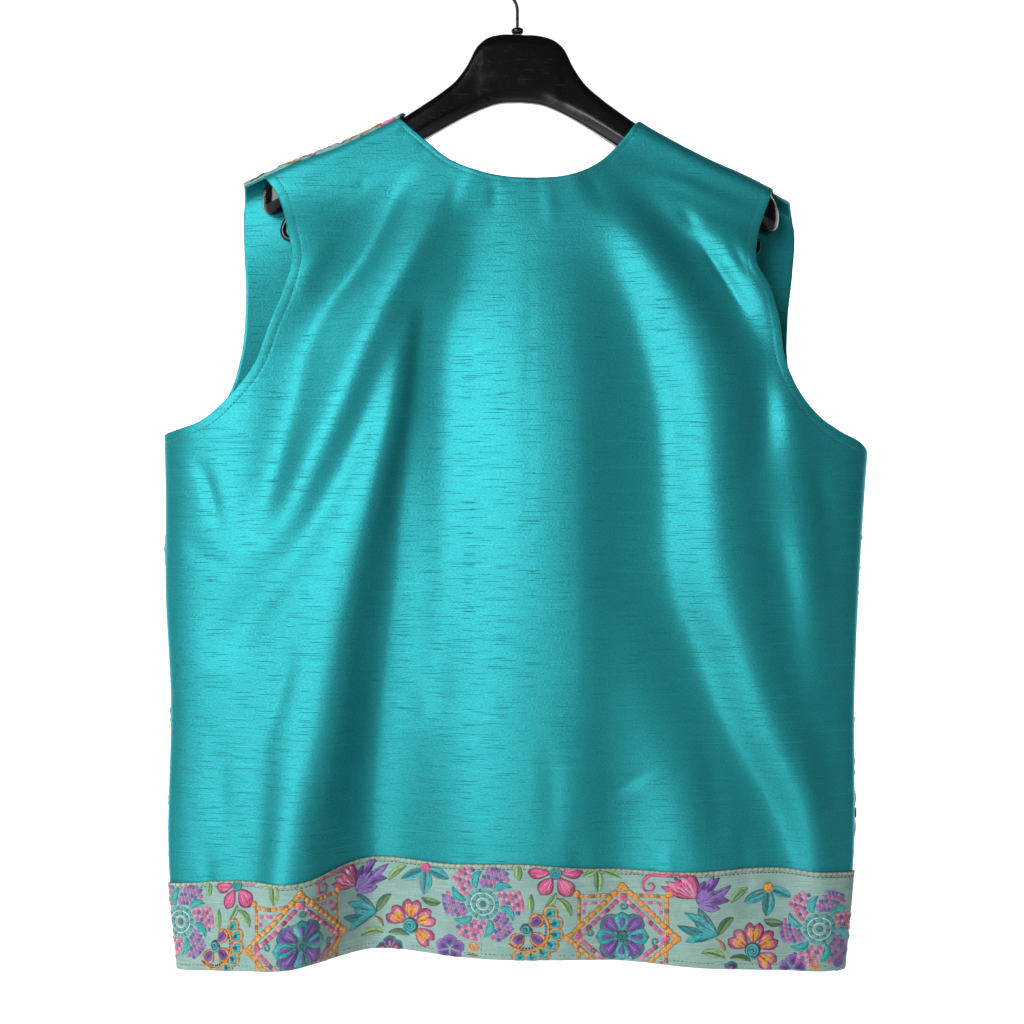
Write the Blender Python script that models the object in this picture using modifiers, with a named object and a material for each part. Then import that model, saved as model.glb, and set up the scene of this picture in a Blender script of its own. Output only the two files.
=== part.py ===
"""Embroidered waistcoat hanging on a moulded suit hanger, seen with its back at -Y.

Lengths in the tables are in millimetres and become metres when a mesh is made.
The origin is the inner top of the hook, where it rests on a rail. +Z is up and the
fronts face +Y.

Every cloth panel is a grid in flat coordinates (x, v). Below the fall line, 10 mm
under the top of the hanger's arm, v is the height z. Above it, v is the length along
the cloth as it rolls over the arm, so a panel can end on either side of the ridge.
"""
import math
from collections import namedtuple

import bmesh
import bpy
import numpy as np

MM = 0.001

# Cloth
FRONT_WALL = 1.5
BACK_WALL = 1.5
LINING_WALL = 1.0
BAND_WALL = 1.0
SEAM_GAP = 0.3
BAND_HEIGHT_LEFT = 70.0
BAND_HEIGHT_RIGHT = 79.0

# Hanger
WIRE_RADIUS = 1.4
HOOK_RADIUS = 20.0
HOOK_BEND_RADIUS = 16.0
HOOK_END_ANGLE = math.radians(-38.0)
STEM_X = 0.4
COLLAR_TOP = -65.0
COLLAR_HEIGHT = 5.2
COLLAR_RADIUS = 5.2
HEAD_X = 3.0
HANGER_TILT = math.tan(math.radians(2.0))
ARM_ROLL = 10.0
ARM_END = 213.0
ARM_ROUND = 13.5
END_BLUNTNESS = 1.03
CHAMFER_HEIGHT = 9.0
CHAMFER_WIDTH = 0.62
BAR_RADIUS = 2.6
BAR_OUT = 196.0
BAR_SEAT = 2.2

# Space between the cloth's inner side and the arm: room for the lining that rests on it
ARM_SPACE = LINING_WALL + 2.0 * SEAM_GAP + 0.3

# How far round the arm the shoulder seams lie, from its ridge, camera side positive
SEAM_ANGLE_LEFT = math.radians(52.0)
SEAM_ANGLE_RIGHT = math.radians(-14.0)
QUARTER = math.pi / 2.0

# Half of the hanger, measured out from the middle of its head
ArmStation = namedtuple("ArmStation", "out top bottom half_depth bow")
ARM = [
    ArmStation(0.0, -70.6, -126.5, 7.0, 0.0),
    ArmStation(18.0, -71.4, -128.2, 7.0, 0.0),
    ArmStation(31.0, -76.5, -132.9, 7.0, 0.0),
    ArmStation(36.5, -82.0, -135.4, 7.0, 0.1),
    ArmStation(42.5, -94.0, -138.4, 7.2, 0.2),
    ArmStation(52.0, -108.0, -143.6, 7.6, 0.4),
    ArmStation(65.0, -119.5, -151.2, 8.4, 0.7),
    ArmStation(82.0, -131.5, -161.7, 9.5, 1.2),
    ArmStation(98.0, -142.0, -171.8, 10.6, 1.8),
    ArmStation(121.0, -154.0, -185.0, 12.3, 3.2),
    ArmStation(153.0, -169.2, -202.0, 14.8, 5.4),
    ArmStation(186.0, -182.2, -218.0, 17.0, 8.2),
    ArmStation(213.0, -195.0, -230.0, 18.0, 10.6),
    ArmStation(236.0, -207.0, -241.0, 18.4, 12.4),
]

# Depth of the hanging form at its middle, from the shoulders to the hem
FormStation = namedtuple("FormStation", "z back front")
FORM = [
    FormStation(-120.0, -15.0, 38.0),
    FormStation(-190.0, -22.0, 40.0),
    FormStation(-300.0, -33.0, 42.0),
    FormStation(-450.0, -37.0, 46.0),
    FormStation(-620.0, -30.0, 48.0),
    FormStation(-840.0, -22.0, 50.0),
]
SIDE_DEPTH = 4.0
SIDE_POWER = 3.2
SIDE_ROUND = 2.2
DRAPE_LENGTH = 95.0

# Outlines, seen from behind: x to the camera's right, height z
OutlinePoint = namedtuple("OutlinePoint", "x z")
SIDE_LEFT = [
    OutlinePoint(-277.0, -836.0),
    OutlinePoint(-284.5, -760.0),
    OutlinePoint(-283.5, -607.0),
    OutlinePoint(-287.5, -530.0),
    OutlinePoint(-287.5, -450.0),
    OutlinePoint(-288.5, -399.0),
]
SIDE_RIGHT = [
    OutlinePoint(267.5, -836.0),
    OutlinePoint(275.0, -756.0),
    OutlinePoint(276.5, -607.0),
    OutlinePoint(283.0, -471.0),
    OutlinePoint(287.0, -413.5),
]
BACK_ARMHOLE_LEFT = [
    OutlinePoint(-288.5, -399.0),
    OutlinePoint(-277.0, -395.5),
    OutlinePoint(-255.0, -388.0),
    OutlinePoint(-234.0, -371.0),
    OutlinePoint(-212.0, -344.0),
    OutlinePoint(-199.0, -311.0),
    OutlinePoint(-186.0, -280.0),
    OutlinePoint(-180.5, -258.0),
    OutlinePoint(-185.0, -233.0),
    OutlinePoint(-198.0, -198.0),
]
BACK_ARMHOLE_RIGHT = [
    OutlinePoint(287.0, -413.5),
    OutlinePoint(281.0, -407.0),
    OutlinePoint(261.0, -396.5),
    OutlinePoint(245.0, -386.0),
    OutlinePoint(231.0, -371.0),
    OutlinePoint(217.0, -343.0),
    OutlinePoint(209.5, -303.0),
    OutlinePoint(203.5, -281.0),
    OutlinePoint(192.5, -260.0),
    OutlinePoint(195.0, -237.0),
    OutlinePoint(203.0, -213.0),
]
FRONT_ARMHOLE_LEFT = [
    OutlinePoint(-288.5, -399.0),
    OutlinePoint(-279.0, -395.0),
    OutlinePoint(-261.0, -387.5),
    OutlinePoint(-243.0, -367.0),
    OutlinePoint(-231.0, -331.0),
    OutlinePoint(-227.0, -286.0),
    OutlinePoint(-228.5, -233.0),
    OutlinePoint(-228.5, -210.0),
]
FRONT_ARMHOLE_RIGHT = [
    OutlinePoint(287.0, -413.5),
    OutlinePoint(283.0, -408.0),
    OutlinePoint(267.0, -400.0),
    OutlinePoint(241.0, -374.0),
    OutlinePoint(229.0, -347.0),
    OutlinePoint(227.0, -300.0),
    OutlinePoint(231.0, -260.0),
    OutlinePoint(232.0, -224.0),
]
BACK_TIP_LEFT = -206.0
BACK_TIP_RIGHT = 212.0
FRONT_TIP_LEFT = -223.0
FRONT_TIP_RIGHT = 226.0
NECK_LEFT = -96.0
NECK_RIGHT = 104.0
NECKLINE = [
    OutlinePoint(-75.0, -159.5),
    OutlinePoint(-53.5, -177.0),
    OutlinePoint(-24.5, -188.5),
    OutlinePoint(12.0, -192.5),
    OutlinePoint(47.5, -188.5),
    OutlinePoint(67.5, -178.0),
    OutlinePoint(81.5, -164.5),
]
HEM = [
    OutlinePoint(-277.0, -836.0),
    OutlinePoint(-205.0, -830.5),
    OutlinePoint(-130.0, -825.0),
    OutlinePoint(-60.0, -824.5),
    OutlinePoint(30.0, -824.5),
    OutlinePoint(125.0, -828.0),
    OutlinePoint(210.0, -833.0),
    OutlinePoint(267.5, -836.0),
]
BAND_TOP = [
    OutlinePoint(-226.0, -760.5),
    OutlinePoint(-176.0, -760.0),
    OutlinePoint(-136.0, -749.5),
    OutlinePoint(-57.0, -748.5),
    OutlinePoint(6.0, -746.0),
    OutlinePoint(58.0, -750.0),
    OutlinePoint(123.0, -752.5),
    OutlinePoint(210.0, -751.5),
]
NECK_V_BOTTOM = -436.0
NECK_V_BOW = 9.0
FRONT_EDGE_TOP = 2.5
FRONT_EDGE_HEM = 9.0
FRONT_HEM = -832.0

# Folds: depth is outward from the body, negative for a trough. A fold runs down its
# stations, and falls away over its two widths, to the left and the right of its line.
Fold = namedtuple("Fold", "name stations")
FoldStation = namedtuple("FoldStation", "x z left right depth")
BACK_FOLDS = [
    Fold("pleat ridge", [
        FoldStation(-84.0, -290.0, 30.0, 8.0, 0.0),
        FoldStation(-90.0, -316.0, 32.0, 9.0, 3.0),
        FoldStation(-98.0, -380.0, 38.0, 10.0, 6.0),
        FoldStation(-114.0, -444.0, 42.0, 12.0, 8.0),
        FoldStation(-131.0, -509.0, 46.0, 14.0, 9.0),
        FoldStation(-143.0, -573.0, 48.0, 16.0, 10.0),
        FoldStation(-152.0, -637.0, 50.0, 19.0, 12.0),
        FoldStation(-168.0, -701.0, 46.0, 22.0, 14.0),
        FoldStation(-190.0, -836.0, 44.0, 28.0, 16.0),
    ]),
    Fold("pleat valley", [
        FoldStation(-72.0, -290.0, 8.0, 34.0, 0.0),
        FoldStation(-76.0, -316.0, 9.0, 38.0, -4.0),
        FoldStation(-84.0, -380.0, 10.0, 44.0, -8.0),
        FoldStation(-92.0, -444.0, 13.0, 48.0, -11.0),
        FoldStation(-97.0, -509.0, 20.0, 52.0, -15.0),
        FoldStation(-104.0, -573.0, 25.0, 54.0, -20.0),
        FoldStation(-111.0, -637.0, 28.0, 58.0, -27.0),
        FoldStation(-116.0, -701.0, 34.0, 60.0, -35.0),
        FoldStation(-114.0, -836.0, 42.0, 66.0, -47.0),
    ]),
    Fold("upper left trough", [
        FoldStation(-92.0, -176.0, 40.0, 14.0, 0.0),
        FoldStation(-106.0, -215.0, 48.0, 15.0, -7.0),
        FoldStation(-124.0, -252.0, 48.0, 16.0, -9.0),
        FoldStation(-168.0, -316.0, 36.0, 18.0, -7.0),
        FoldStation(-184.0, -380.0, 26.0, 16.0, -5.0),
        FoldStation(-198.0, -444.0, 20.0, 16.0, -4.0),
        FoldStation(-206.0, -490.0, 16.0, 16.0, 0.0),
    ]),
    Fold("left shoulder ridge", [
        FoldStation(-188.0, -186.0, 16.0, 46.0, 0.0),
        FoldStation(-186.0, -215.0, 16.0, 50.0, 6.0),
        FoldStation(-180.0, -258.0, 16.0, 50.0, 7.0),
        FoldStation(-192.0, -300.0, 18.0, 40.0, 4.0),
        FoldStation(-206.0, -340.0, 18.0, 26.0, 0.0),
    ]),
    Fold("upper left ridge", [
        FoldStation(-62.0, -212.0, 16.0, 16.0, 0.0),
        FoldStation(-82.0, -252.0, 20.0, 16.0, 6.0),
        FoldStation(-116.0, -316.0, 22.0, 18.0, 8.0),
        FoldStation(-142.0, -380.0, 22.0, 18.0, 7.0),
        FoldStation(-170.0, -444.0, 22.0, 20.0, 6.0),
        FoldStation(-196.0, -509.0, 24.0, 22.0, 4.0),
        FoldStation(-222.0, -570.0, 24.0, 24.0, 0.0),
    ]),
    Fold("left trough", [
        FoldStation(-104.0, -310.0, 14.0, 14.0, 0.0),
        FoldStation(-122.0, -380.0, 16.0, 16.0, -3.0),
        FoldStation(-152.0, -444.0, 20.0, 18.0, -4.0),
        FoldStation(-190.0, -505.0, 24.0, 20.0, -6.0),
        FoldStation(-214.0, -545.0, 24.0, 20.0, -5.0),
        FoldStation(-238.0, -590.0, 22.0, 20.0, 0.0),
    ]),
    Fold("low left trough", [
        FoldStation(-206.0, -620.0, 16.0, 12.0, 0.0),
        FoldStation(-204.0, -665.0, 20.0, 12.0, -2.0),
        FoldStation(-206.0, -720.0, 24.0, 11.0, -4.0),
        FoldStation(-212.0, -790.0, 24.0, 11.0, -3.0),
        FoldStation(-214.0, -836.0, 24.0, 12.0, -2.0),
    ]),
    Fold("centre left hollow", [
        FoldStation(-28.0, -195.0, 22.0, 26.0, 0.0),
        FoldStation(-35.0, -252.0, 24.0, 34.0, -4.0),
        FoldStation(-50.0, -316.0, 26.0, 44.0, -6.0),
        FoldStation(-52.0, -400.0, 24.0, 46.0, -6.0),
        FoldStation(-52.0, -500.0, 20.0, 44.0, -4.0),
        FoldStation(-52.0, -573.0, 16.0, 34.0, -2.5),
        FoldStation(-52.0, -645.0, 14.0, 26.0, 0.0),
    ]),
    Fold("centre swell", [
        FoldStation(38.0, -260.0, 60.0, 26.0, 0.0),
        FoldStation(46.0, -400.0, 64.0, 24.0, 5.0),
        FoldStation(48.0, -500.0, 64.0, 24.0, 6.0),
        FoldStation(46.0, -620.0, 64.0, 26.0, 6.0),
        FoldStation(40.0, -740.0, 62.0, 30.0, 3.0),
        FoldStation(24.0, -836.0, 60.0, 40.0, -6.0),
    ]),
    Fold("right of centre trough", [
        FoldStation(62.0, -230.0, 26.0, 20.0, 0.0),
        FoldStation(94.0, -316.0, 32.0, 22.0, -6.0),
        FoldStation(110.0, -380.0, 36.0, 24.0, -8.0),
        FoldStation(114.0, -444.0, 38.0, 26.0, -9.0),
        FoldStation(116.0, -509.0, 40.0, 28.0, -10.0),
        FoldStation(140.0, -573.0, 40.0, 26.0, -11.0),
        FoldStation(166.0, -637.0, 40.0, 22.0, -10.0),
        FoldStation(204.0, -701.0, 44.0, 20.0, -10.0),
        FoldStation(228.0, -770.0, 40.0, 20.0, -8.0),
        FoldStation(238.0, -836.0, 36.0, 20.0, -5.0),
    ]),
    Fold("right ridge", [
        FoldStation(84.0, -205.0, 20.0, 18.0, 0.0),
        FoldStation(107.0, -252.0, 24.0, 18.0, 5.0),
        FoldStation(148.0, -316.0, 28.0, 22.0, 6.0),
        FoldStation(160.0, -380.0, 30.0, 24.0, 7.0),
        FoldStation(164.0, -444.0, 30.0, 28.0, 7.0),
        FoldStation(172.0, -509.0, 30.0, 30.0, 7.0),
        FoldStation(188.0, -573.0, 28.0, 28.0, 8.0),
        FoldStation(210.0, -637.0, 24.0, 26.0, 9.0),
        FoldStation(238.0, -701.0, 24.0, 22.0, 9.0),
        FoldStation(248.0, -770.0, 26.0, 20.0, 8.0),
        FoldStation(250.0, -836.0, 28.0, 18.0, 8.0),
    ]),
    Fold("right trough", [
        FoldStation(192.0, -330.0, 16.0, 14.0, 0.0),
        FoldStation(199.0, -380.0, 16.0, 14.0, -5.0),
        FoldStation(192.0, -444.0, 16.0, 18.0, -1.5),
        FoldStation(214.0, -509.0, 20.0, 14.0, -3.0),
        FoldStation(222.0, -573.0, 22.0, 18.0, -2.0),
        FoldStation(226.0, -620.0, 22.0, 18.0, 0.0),
    ]),
    Fold("narrow right ridge", [
        FoldStation(206.0, -345.0, 12.0, 12.0, 0.0),
        FoldStation(219.0, -385.0, 14.0, 14.0, 3.0),
        FoldStation(228.0, -444.0, 18.0, 16.0, 4.0),
        FoldStation(234.0, -509.0, 16.0, 16.0, 5.0),
        FoldStation(240.0, -573.0, 16.0, 16.0, 3.0),
        FoldStation(246.0, -640.0, 16.0, 16.0, 0.0),
    ]),
    Fold("right shoulder trough", [
        FoldStation(92.0, -182.0, 18.0, 18.0, 0.0),
        FoldStation(114.0, -216.0, 22.0, 20.0, -4.0),
        FoldStation(150.0, -255.0, 26.0, 20.0, -7.0),
        FoldStation(184.0, -310.0, 26.0, 20.0, -6.0),
        FoldStation(204.0, -350.0, 22.0, 18.0, -2.0),
        FoldStation(210.0, -380.0, 20.0, 18.0, 0.0),
    ]),
    Fold("right shoulder ridge", [
        FoldStation(150.0, -200.0, 34.0, 18.0, 0.0),
        FoldStation(176.0, -235.0, 30.0, 18.0, 4.0),
        FoldStation(196.0, -285.0, 20.0, 16.0, 4.0),
        FoldStation(208.0, -335.0, 18.0, 16.0, 0.0),
    ]),
    Fold("hem trough in the middle", [
        FoldStation(76.0, -600.0, 24.0, 40.0, 0.0),
        FoldStation(82.0, -660.0, 26.0, 42.0, -4.0),
        FoldStation(84.0, -730.0, 28.0, 46.0, -8.0),
        FoldStation(84.0, -836.0, 40.0, 52.0, -13.0),
    ]),
    Fold("hem ridge on the right", [
        FoldStation(128.0, -640.0, 34.0, 28.0, 0.0),
        FoldStation(136.0, -710.0, 36.0, 28.0, 4.0),
        FoldStation(144.0, -836.0, 36.0, 30.0, 5.0),
    ]),
]
FRONT_FOLDS = [
    Fold("left chest trough", [
        FoldStation(-120.0, -230.0, 20.0, 24.0, 0.0),
        FoldStation(-150.0, -330.0, 24.0, 26.0, -7.0),
        FoldStation(-180.0, -420.0, 26.0, 28.0, -8.0),
        FoldStation(-196.0, -520.0, 26.0, 28.0, 0.0),
    ]),
    Fold("left waist ridge", [
        FoldStation(-110.0, -420.0, 30.0, 26.0, 0.0),
        FoldStation(-118.0, -560.0, 34.0, 28.0, 8.0),
        FoldStation(-126.0, -700.0, 38.0, 30.0, 12.0),
        FoldStation(-130.0, -836.0, 42.0, 32.0, 14.0),
    ]),
    Fold("left hem trough", [
        FoldStation(-196.0, -560.0, 22.0, 22.0, 0.0),
        FoldStation(-204.0, -700.0, 26.0, 26.0, -7.0),
        FoldStation(-210.0, -836.0, 30.0, 30.0, -11.0),
    ]),
    Fold("left edge ridge", [
        FoldStation(-40.0, -470.0, 20.0, 20.0, 0.0),
        FoldStation(-44.0, -640.0, 22.0, 22.0, -5.0),
        FoldStation(-50.0, -836.0, 24.0, 24.0, -8.0),
    ]),
    Fold("right chest trough", [
        FoldStation(110.0, -240.0, 22.0, 20.0, 0.0),
        FoldStation(132.0, -340.0, 24.0, 22.0, -6.0),
        FoldStation(150.0, -450.0, 26.0, 24.0, -9.0),
        FoldStation(178.0, -560.0, 26.0, 24.0, 0.0),
    ]),
    Fold("right waist ridge", [
        FoldStation(86.0, -400.0, 26.0, 28.0, 0.0),
        FoldStation(92.0, -540.0, 28.0, 30.0, 7.0),
        FoldStation(104.0, -690.0, 32.0, 34.0, 13.0),
        FoldStation(118.0, -836.0, 34.0, 40.0, 13.0),
    ]),
    Fold("right hem trough", [
        FoldStation(206.0, -600.0, 22.0, 24.0, 0.0),
        FoldStation(202.0, -720.0, 24.0, 26.0, -8.0),
        FoldStation(198.0, -836.0, 28.0, 28.0, -12.0),
    ]),
    Fold("right edge trough", [
        FoldStation(34.0, -520.0, 18.0, 20.0, 0.0),
        FoldStation(40.0, -680.0, 20.0, 22.0, -6.0),
        FoldStation(44.0, -836.0, 22.0, 24.0, -9.0),
    ]),
]
FOLD_START = 12.0
FOLD_FULL = 60.0

# Grid levels: how many steps each stretch of a panel gets
Stretch = namedtuple("Stretch", "end steps crowded")
BACK_COLUMNS = [Stretch(0.27, 10, "start"), Stretch(0.73, 16, "both"),
                Stretch(1.0, 10, "end")]
BAND_ROWS = 3
SIDE_ROWS = 16
ARMHOLE_ROWS = 9
ROLL_STEP = 4.6
FRONT_COLUMNS = 12
EDGE_CROWDING = 0.55


def smooth_curve(values, knots, at):
    """Smooth curve through values at rising knots, with the neighbours' mean slopes."""
    values = np.asarray(values, dtype=float)
    knots = np.asarray(knots, dtype=float)
    at = np.clip(at, knots[0], knots[-1])
    slopes = np.gradient(values, knots)
    left = np.clip(np.searchsorted(knots, at, side="right") - 1, 0, len(knots) - 2)
    span = knots[left + 1] - knots[left]
    f = (at - knots[left]) / span
    ease = f * f * (3.0 - 2.0 * f)
    lean_in = f * (1.0 - f) ** 2 * span * slopes[left]
    lean_out = f * f * (f - 1.0) * span * slopes[left + 1]
    return values[left] * (1.0 - ease) + values[left + 1] * ease + lean_in + lean_out


def smoothstep(value):
    """Ease from 0 to 1."""
    value = np.clip(value, 0.0, 1.0)
    return value * value * (3.0 - 2.0 * value)


def arm_profile(x, column):
    """One column of the arm's table at x, with the hanger's tilt in its heights."""
    out = np.abs(np.asarray(x, dtype=float) - HEAD_X)
    knots = [station.out for station in ARM]
    value = smooth_curve([getattr(station, column) for station in ARM], knots, out)
    if column in ("top", "bottom"):
        value = value - (np.asarray(x, dtype=float) - HEAD_X) * HANGER_TILT
    return value


def fall_line(x):
    """Height at which cloth leaves the rounded top of the arm and hangs straight."""
    return arm_profile(x, "top") - ARM_ROLL


def fold_depth(folds, x, z):
    """Sum of soft ridges and troughs: a bell across each fold's line, uneven along it."""
    total = np.zeros_like(x)
    for fold in folds:
        rows = fold.stations[::-1]
        knots = [row.z for row in rows]
        line = smooth_curve([row.x for row in rows], knots, z)
        left = np.interp(z, knots, [row.left for row in rows])
        right = np.interp(z, knots, [row.right for row in rows])
        depth = smooth_curve([row.depth for row in rows], knots, z)
        inside = (z >= knots[0]) & (z <= knots[-1])
        width = np.where(x < line, left, right)
        total += np.where(inside, depth, 0.0) * np.exp(-((x - line) / width) ** 2)
    return total


def half_width(x, z):
    """Distance from the middle to the side seam at height z, on the side where x lies."""
    left = smooth_curve([-p.x for p in SIDE_LEFT], [p.z for p in SIDE_LEFT], z)
    right = smooth_curve([p.x for p in SIDE_RIGHT], [p.z for p in SIDE_RIGHT], z)
    return np.where(x < 0.0, left, right)


def hang(x, v, toward_front):
    """Place flat coordinates (x, v) in space, on the back or the front of the body.

    Cloth on the arm's rounded top follows an ellipse round it. Below, it eases from
    the arm's face to the body's oval, and the folds add to that.
    """
    side = 1.0 if toward_front else -1.0
    folds = FRONT_FOLDS if toward_front else BACK_FOLDS
    knots = [row.z for row in FORM][::-1]
    middle = [(row.front if toward_front else row.back) for row in FORM][::-1]
    middle_depth = smooth_curve(middle, knots, v)
    across = np.clip(np.abs(x) / half_width(x, v), 0.0, 1.0)
    roundness = (1.0 - across ** SIDE_POWER) ** (1.0 / SIDE_ROUND)
    seam_side = SIDE_DEPTH + side * SEAM_GAP / 2.0
    oval = seam_side + (middle_depth - seam_side) * roundness
    reach = arm_profile(x, "half_depth") + ARM_SPACE
    bow = arm_profile(x, "bow")
    face = bow + side * reach
    below = fall_line(x) - v
    hanging = face + (oval - face) * smoothstep(below / DRAPE_LENGTH)
    fold_share = smoothstep((below - FOLD_START) / (FOLD_FULL - FOLD_START))
    edge_share = smoothstep((1.0 - across) * 6.0)
    hanging = hanging + side * fold_depth(folds, x, v) * fold_share * edge_share
    arm_height = arm_profile(x, "top") - arm_profile(x, "bottom")
    beside_arm = below < arm_height
    clear = np.maximum(hanging, face) if toward_front else np.minimum(hanging, face)
    hanging = np.where(beside_arm & (np.abs(x - HEAD_X) < ARM_END), clear, hanging)
    roll = ARM_ROLL + ARM_SPACE
    angle = QUARTER - np.clip(-below, 0.0, None) / roll
    y = np.where(below >= 0.0, hanging, bow + side * reach * np.sin(angle))
    rolled = arm_profile(x, "top") + ARM_SPACE - roll * (1.0 - np.cos(angle))
    z = np.where(below >= 0.0, v, rolled)
    return np.stack([x, y, z], axis=-1)


def along(points, fractions):
    """Smooth curve through 2D points, read at fractions of its length."""
    points = np.asarray(points, dtype=float)
    steps = np.hypot(*np.diff(points, axis=0).T)
    knots = np.concatenate([[0.0], np.cumsum(steps)])
    at = np.asarray(fractions) * knots[-1]
    return np.stack([smooth_curve(points[:, 0], knots, at),
                     smooth_curve(points[:, 1], knots, at)], axis=-1)


def levels(start, end, steps, crowded=""):
    """Steps from start to end, drawn together at the start, the end or both."""
    f = np.linspace(0.0, 1.0, steps + 1)
    eased = {"": f, "start": 1.0 - np.cos(f * QUARTER), "end": np.sin(f * QUARTER),
             "both": (1.0 - np.cos(f * math.pi)) / 2.0}[crowded]
    mixed = f * (1.0 - EDGE_CROWDING) + eased * EDGE_CROWDING
    return start + (end - start) * mixed


def seam_length(toward_front, left_side):
    """Length of cloth above the fall line, up to the shoulder seam."""
    angle = SEAM_ANGLE_LEFT if left_side else SEAM_ANGLE_RIGHT
    turned = QUARTER + angle if toward_front else QUARTER - angle
    half_gap = SEAM_GAP / 2.0
    return turned * (ARM_ROLL + ARM_SPACE) - half_gap


def shoulder(x_from, x_to, toward_front, fractions):
    """Shoulder seam in flat coordinates, along the fall line, moved up by its length."""
    x = x_from + (x_to - x_from) * np.asarray(fractions)
    rise = seam_length(toward_front, x_from + x_to < 0.0)
    return np.stack([x, fall_line(x) + rise], axis=-1)


def patch(bottom, top, left, right, s, t):
    """Blend four edge curves into a grid: opposite edges are mixed and corners taken off."""
    s = s[None, :, None]
    t = t[:, None, None]
    bottom, top = bottom[None], top[None]
    left, right = left[:, None], right[:, None]
    corners = ((1 - s) * (1 - t) * bottom[:, :1] + s * (1 - t) * bottom[:, -1:]
               + (1 - s) * t * top[:, :1] + s * t * top[:, -1:])
    return (1 - t) * bottom + t * top + (1 - s) * left + s * right - corners


def edge_up(side_points, armhole_points, tip, roll, band_height):
    """Side seam and armhole as one edge, from the hem to the shoulder's tip.

    Rows are spread over the band, the rest of the side seam, the armhole, and closely
    over the last stretch, roll long, where the cloth rolls over the arm.
    """
    band = band_height / (side_points[-1].z - side_points[0].z)
    side_rows = np.concatenate([levels(0.0, band, BAND_ROWS),
                                levels(band, 1.0, SIDE_ROWS)[1:]])
    upper = np.asarray(armhole_points + [tip], dtype=float)
    roll_share = roll / np.hypot(*np.diff(upper, axis=0).T).sum()
    roll_rows = math.ceil(roll / ROLL_STEP)
    hole_rows = np.concatenate([levels(0.0, 1.0 - roll_share, ARMHOLE_ROWS),
                                levels(1.0 - roll_share, 1.0, roll_rows)[1:]])
    return np.concatenate([along(side_points, side_rows), along(upper, hole_rows)[1:]])


def grid_rows(edge):
    """Blend weights from hem to top: the share of the edge's length at each row."""
    steps = np.hypot(*np.diff(edge, axis=0).T)
    length = np.concatenate([[0.0], np.cumsum(steps)])
    return length / length[-1]


def tip_point(x, toward_front):
    """Shoulder tip in flat coordinates."""
    return tuple(shoulder(x, x, toward_front, [0.0])[0])


def back_points():
    """Grid of the back panel's inner side, hem row first, left column first."""
    starts = [0.0] + [stretch.end for stretch in BACK_COLUMNS[:-1]]
    s = [levels(start, *stretch) for start, stretch in zip(starts, BACK_COLUMNS)]
    first, middle, last = ((part - start) / (part[-1] - start)
                           for part, start in zip(s, starts))
    roll = max(seam_length(False, True), seam_length(False, False))
    left = edge_up(SIDE_LEFT, BACK_ARMHOLE_LEFT, tip_point(BACK_TIP_LEFT, False), roll,
                   BAND_HEIGHT_LEFT)
    right = edge_up(SIDE_RIGHT, BACK_ARMHOLE_RIGHT, tip_point(BACK_TIP_RIGHT, False), roll,
                    BAND_HEIGHT_RIGHT)
    top_left = shoulder(BACK_TIP_LEFT, NECK_LEFT, False, first)
    top_right = shoulder(NECK_RIGHT, BACK_TIP_RIGHT, False, last)
    neck = along([top_left[-1]] + NECKLINE + [top_right[0]], middle)
    top = np.concatenate([top_left, neck[1:], top_right[1:]])
    s = np.concatenate([s[0], s[1][1:], s[2][1:]])
    band_top = along([left[BAND_ROWS]] + BAND_TOP + [right[BAND_ROWS]], s)
    band_part, body_part = slice(0, BAND_ROWS + 1), slice(BAND_ROWS, None)
    parts = []
    for bottom, upper, rows in ((along(HEM, s), band_top, band_part),
                                (band_top, top, body_part)):
        edge = grid_rows((left[rows] + right[rows]) / 2.0)
        parts.append(patch(bottom, upper, left[rows], right[rows], s, edge))
    flat = np.concatenate([parts[0], parts[1][1:]])
    return hang(flat[..., 0], flat[..., 1], toward_front=False)


def front_points(side):
    """Grid of one front's inner side, from its side edge to its centre edge."""
    is_left = side < 0
    s = levels(0.0, 1.0, FRONT_COLUMNS, "start")
    seam = SIDE_LEFT if is_left else SIDE_RIGHT
    hole = FRONT_ARMHOLE_LEFT if is_left else FRONT_ARMHOLE_RIGHT
    tip_x = FRONT_TIP_LEFT if is_left else FRONT_TIP_RIGHT
    neck_x = NECK_LEFT if is_left else NECK_RIGHT
    outer = edge_up(seam, hole, tip_point(tip_x, True), seam_length(True, is_left),
                    BAND_HEIGHT_LEFT if is_left else BAND_HEIGHT_RIGHT)
    hem_corner = (side * FRONT_EDGE_HEM, FRONT_HEM)
    v_bottom = (side * FRONT_EDGE_TOP, NECK_V_BOTTOM)
    neck_point = tip_point(neck_x, True)
    t = grid_rows(outer)
    split = (NECK_V_BOTTOM - FRONT_HEM) / (neck_point[1] - FRONT_HEM)
    lower = t < split
    straight = along([hem_corner, v_bottom], t[lower] / split)
    bowed = [v_bottom,
             ((v_bottom[0] + neck_x) / 2.0 - side * NECK_V_BOW,
              (v_bottom[1] + neck_point[1]) / 2.0),
             neck_point]
    slanted = along(bowed, (t[~lower] - split) / (1.0 - split))
    centre = np.concatenate([straight, slanted])
    hem_curve = [tuple(seam[0]), (side * 215.0, FRONT_HEM), hem_corner]
    flat = patch(along(hem_curve, s), shoulder(tip_x, neck_x, True, s), outer, centre, s, t)
    return hang(flat[..., 0], flat[..., 1], toward_front=True)


def grid_normals(points):
    """Unit normals of a grid, from the slopes along its rows and its columns."""
    along_row = np.gradient(points, axis=1)
    up_column = np.gradient(points, axis=0)
    normal = np.cross(along_row, up_column)
    return normal / np.linalg.norm(normal, axis=-1, keepdims=True)


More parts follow.
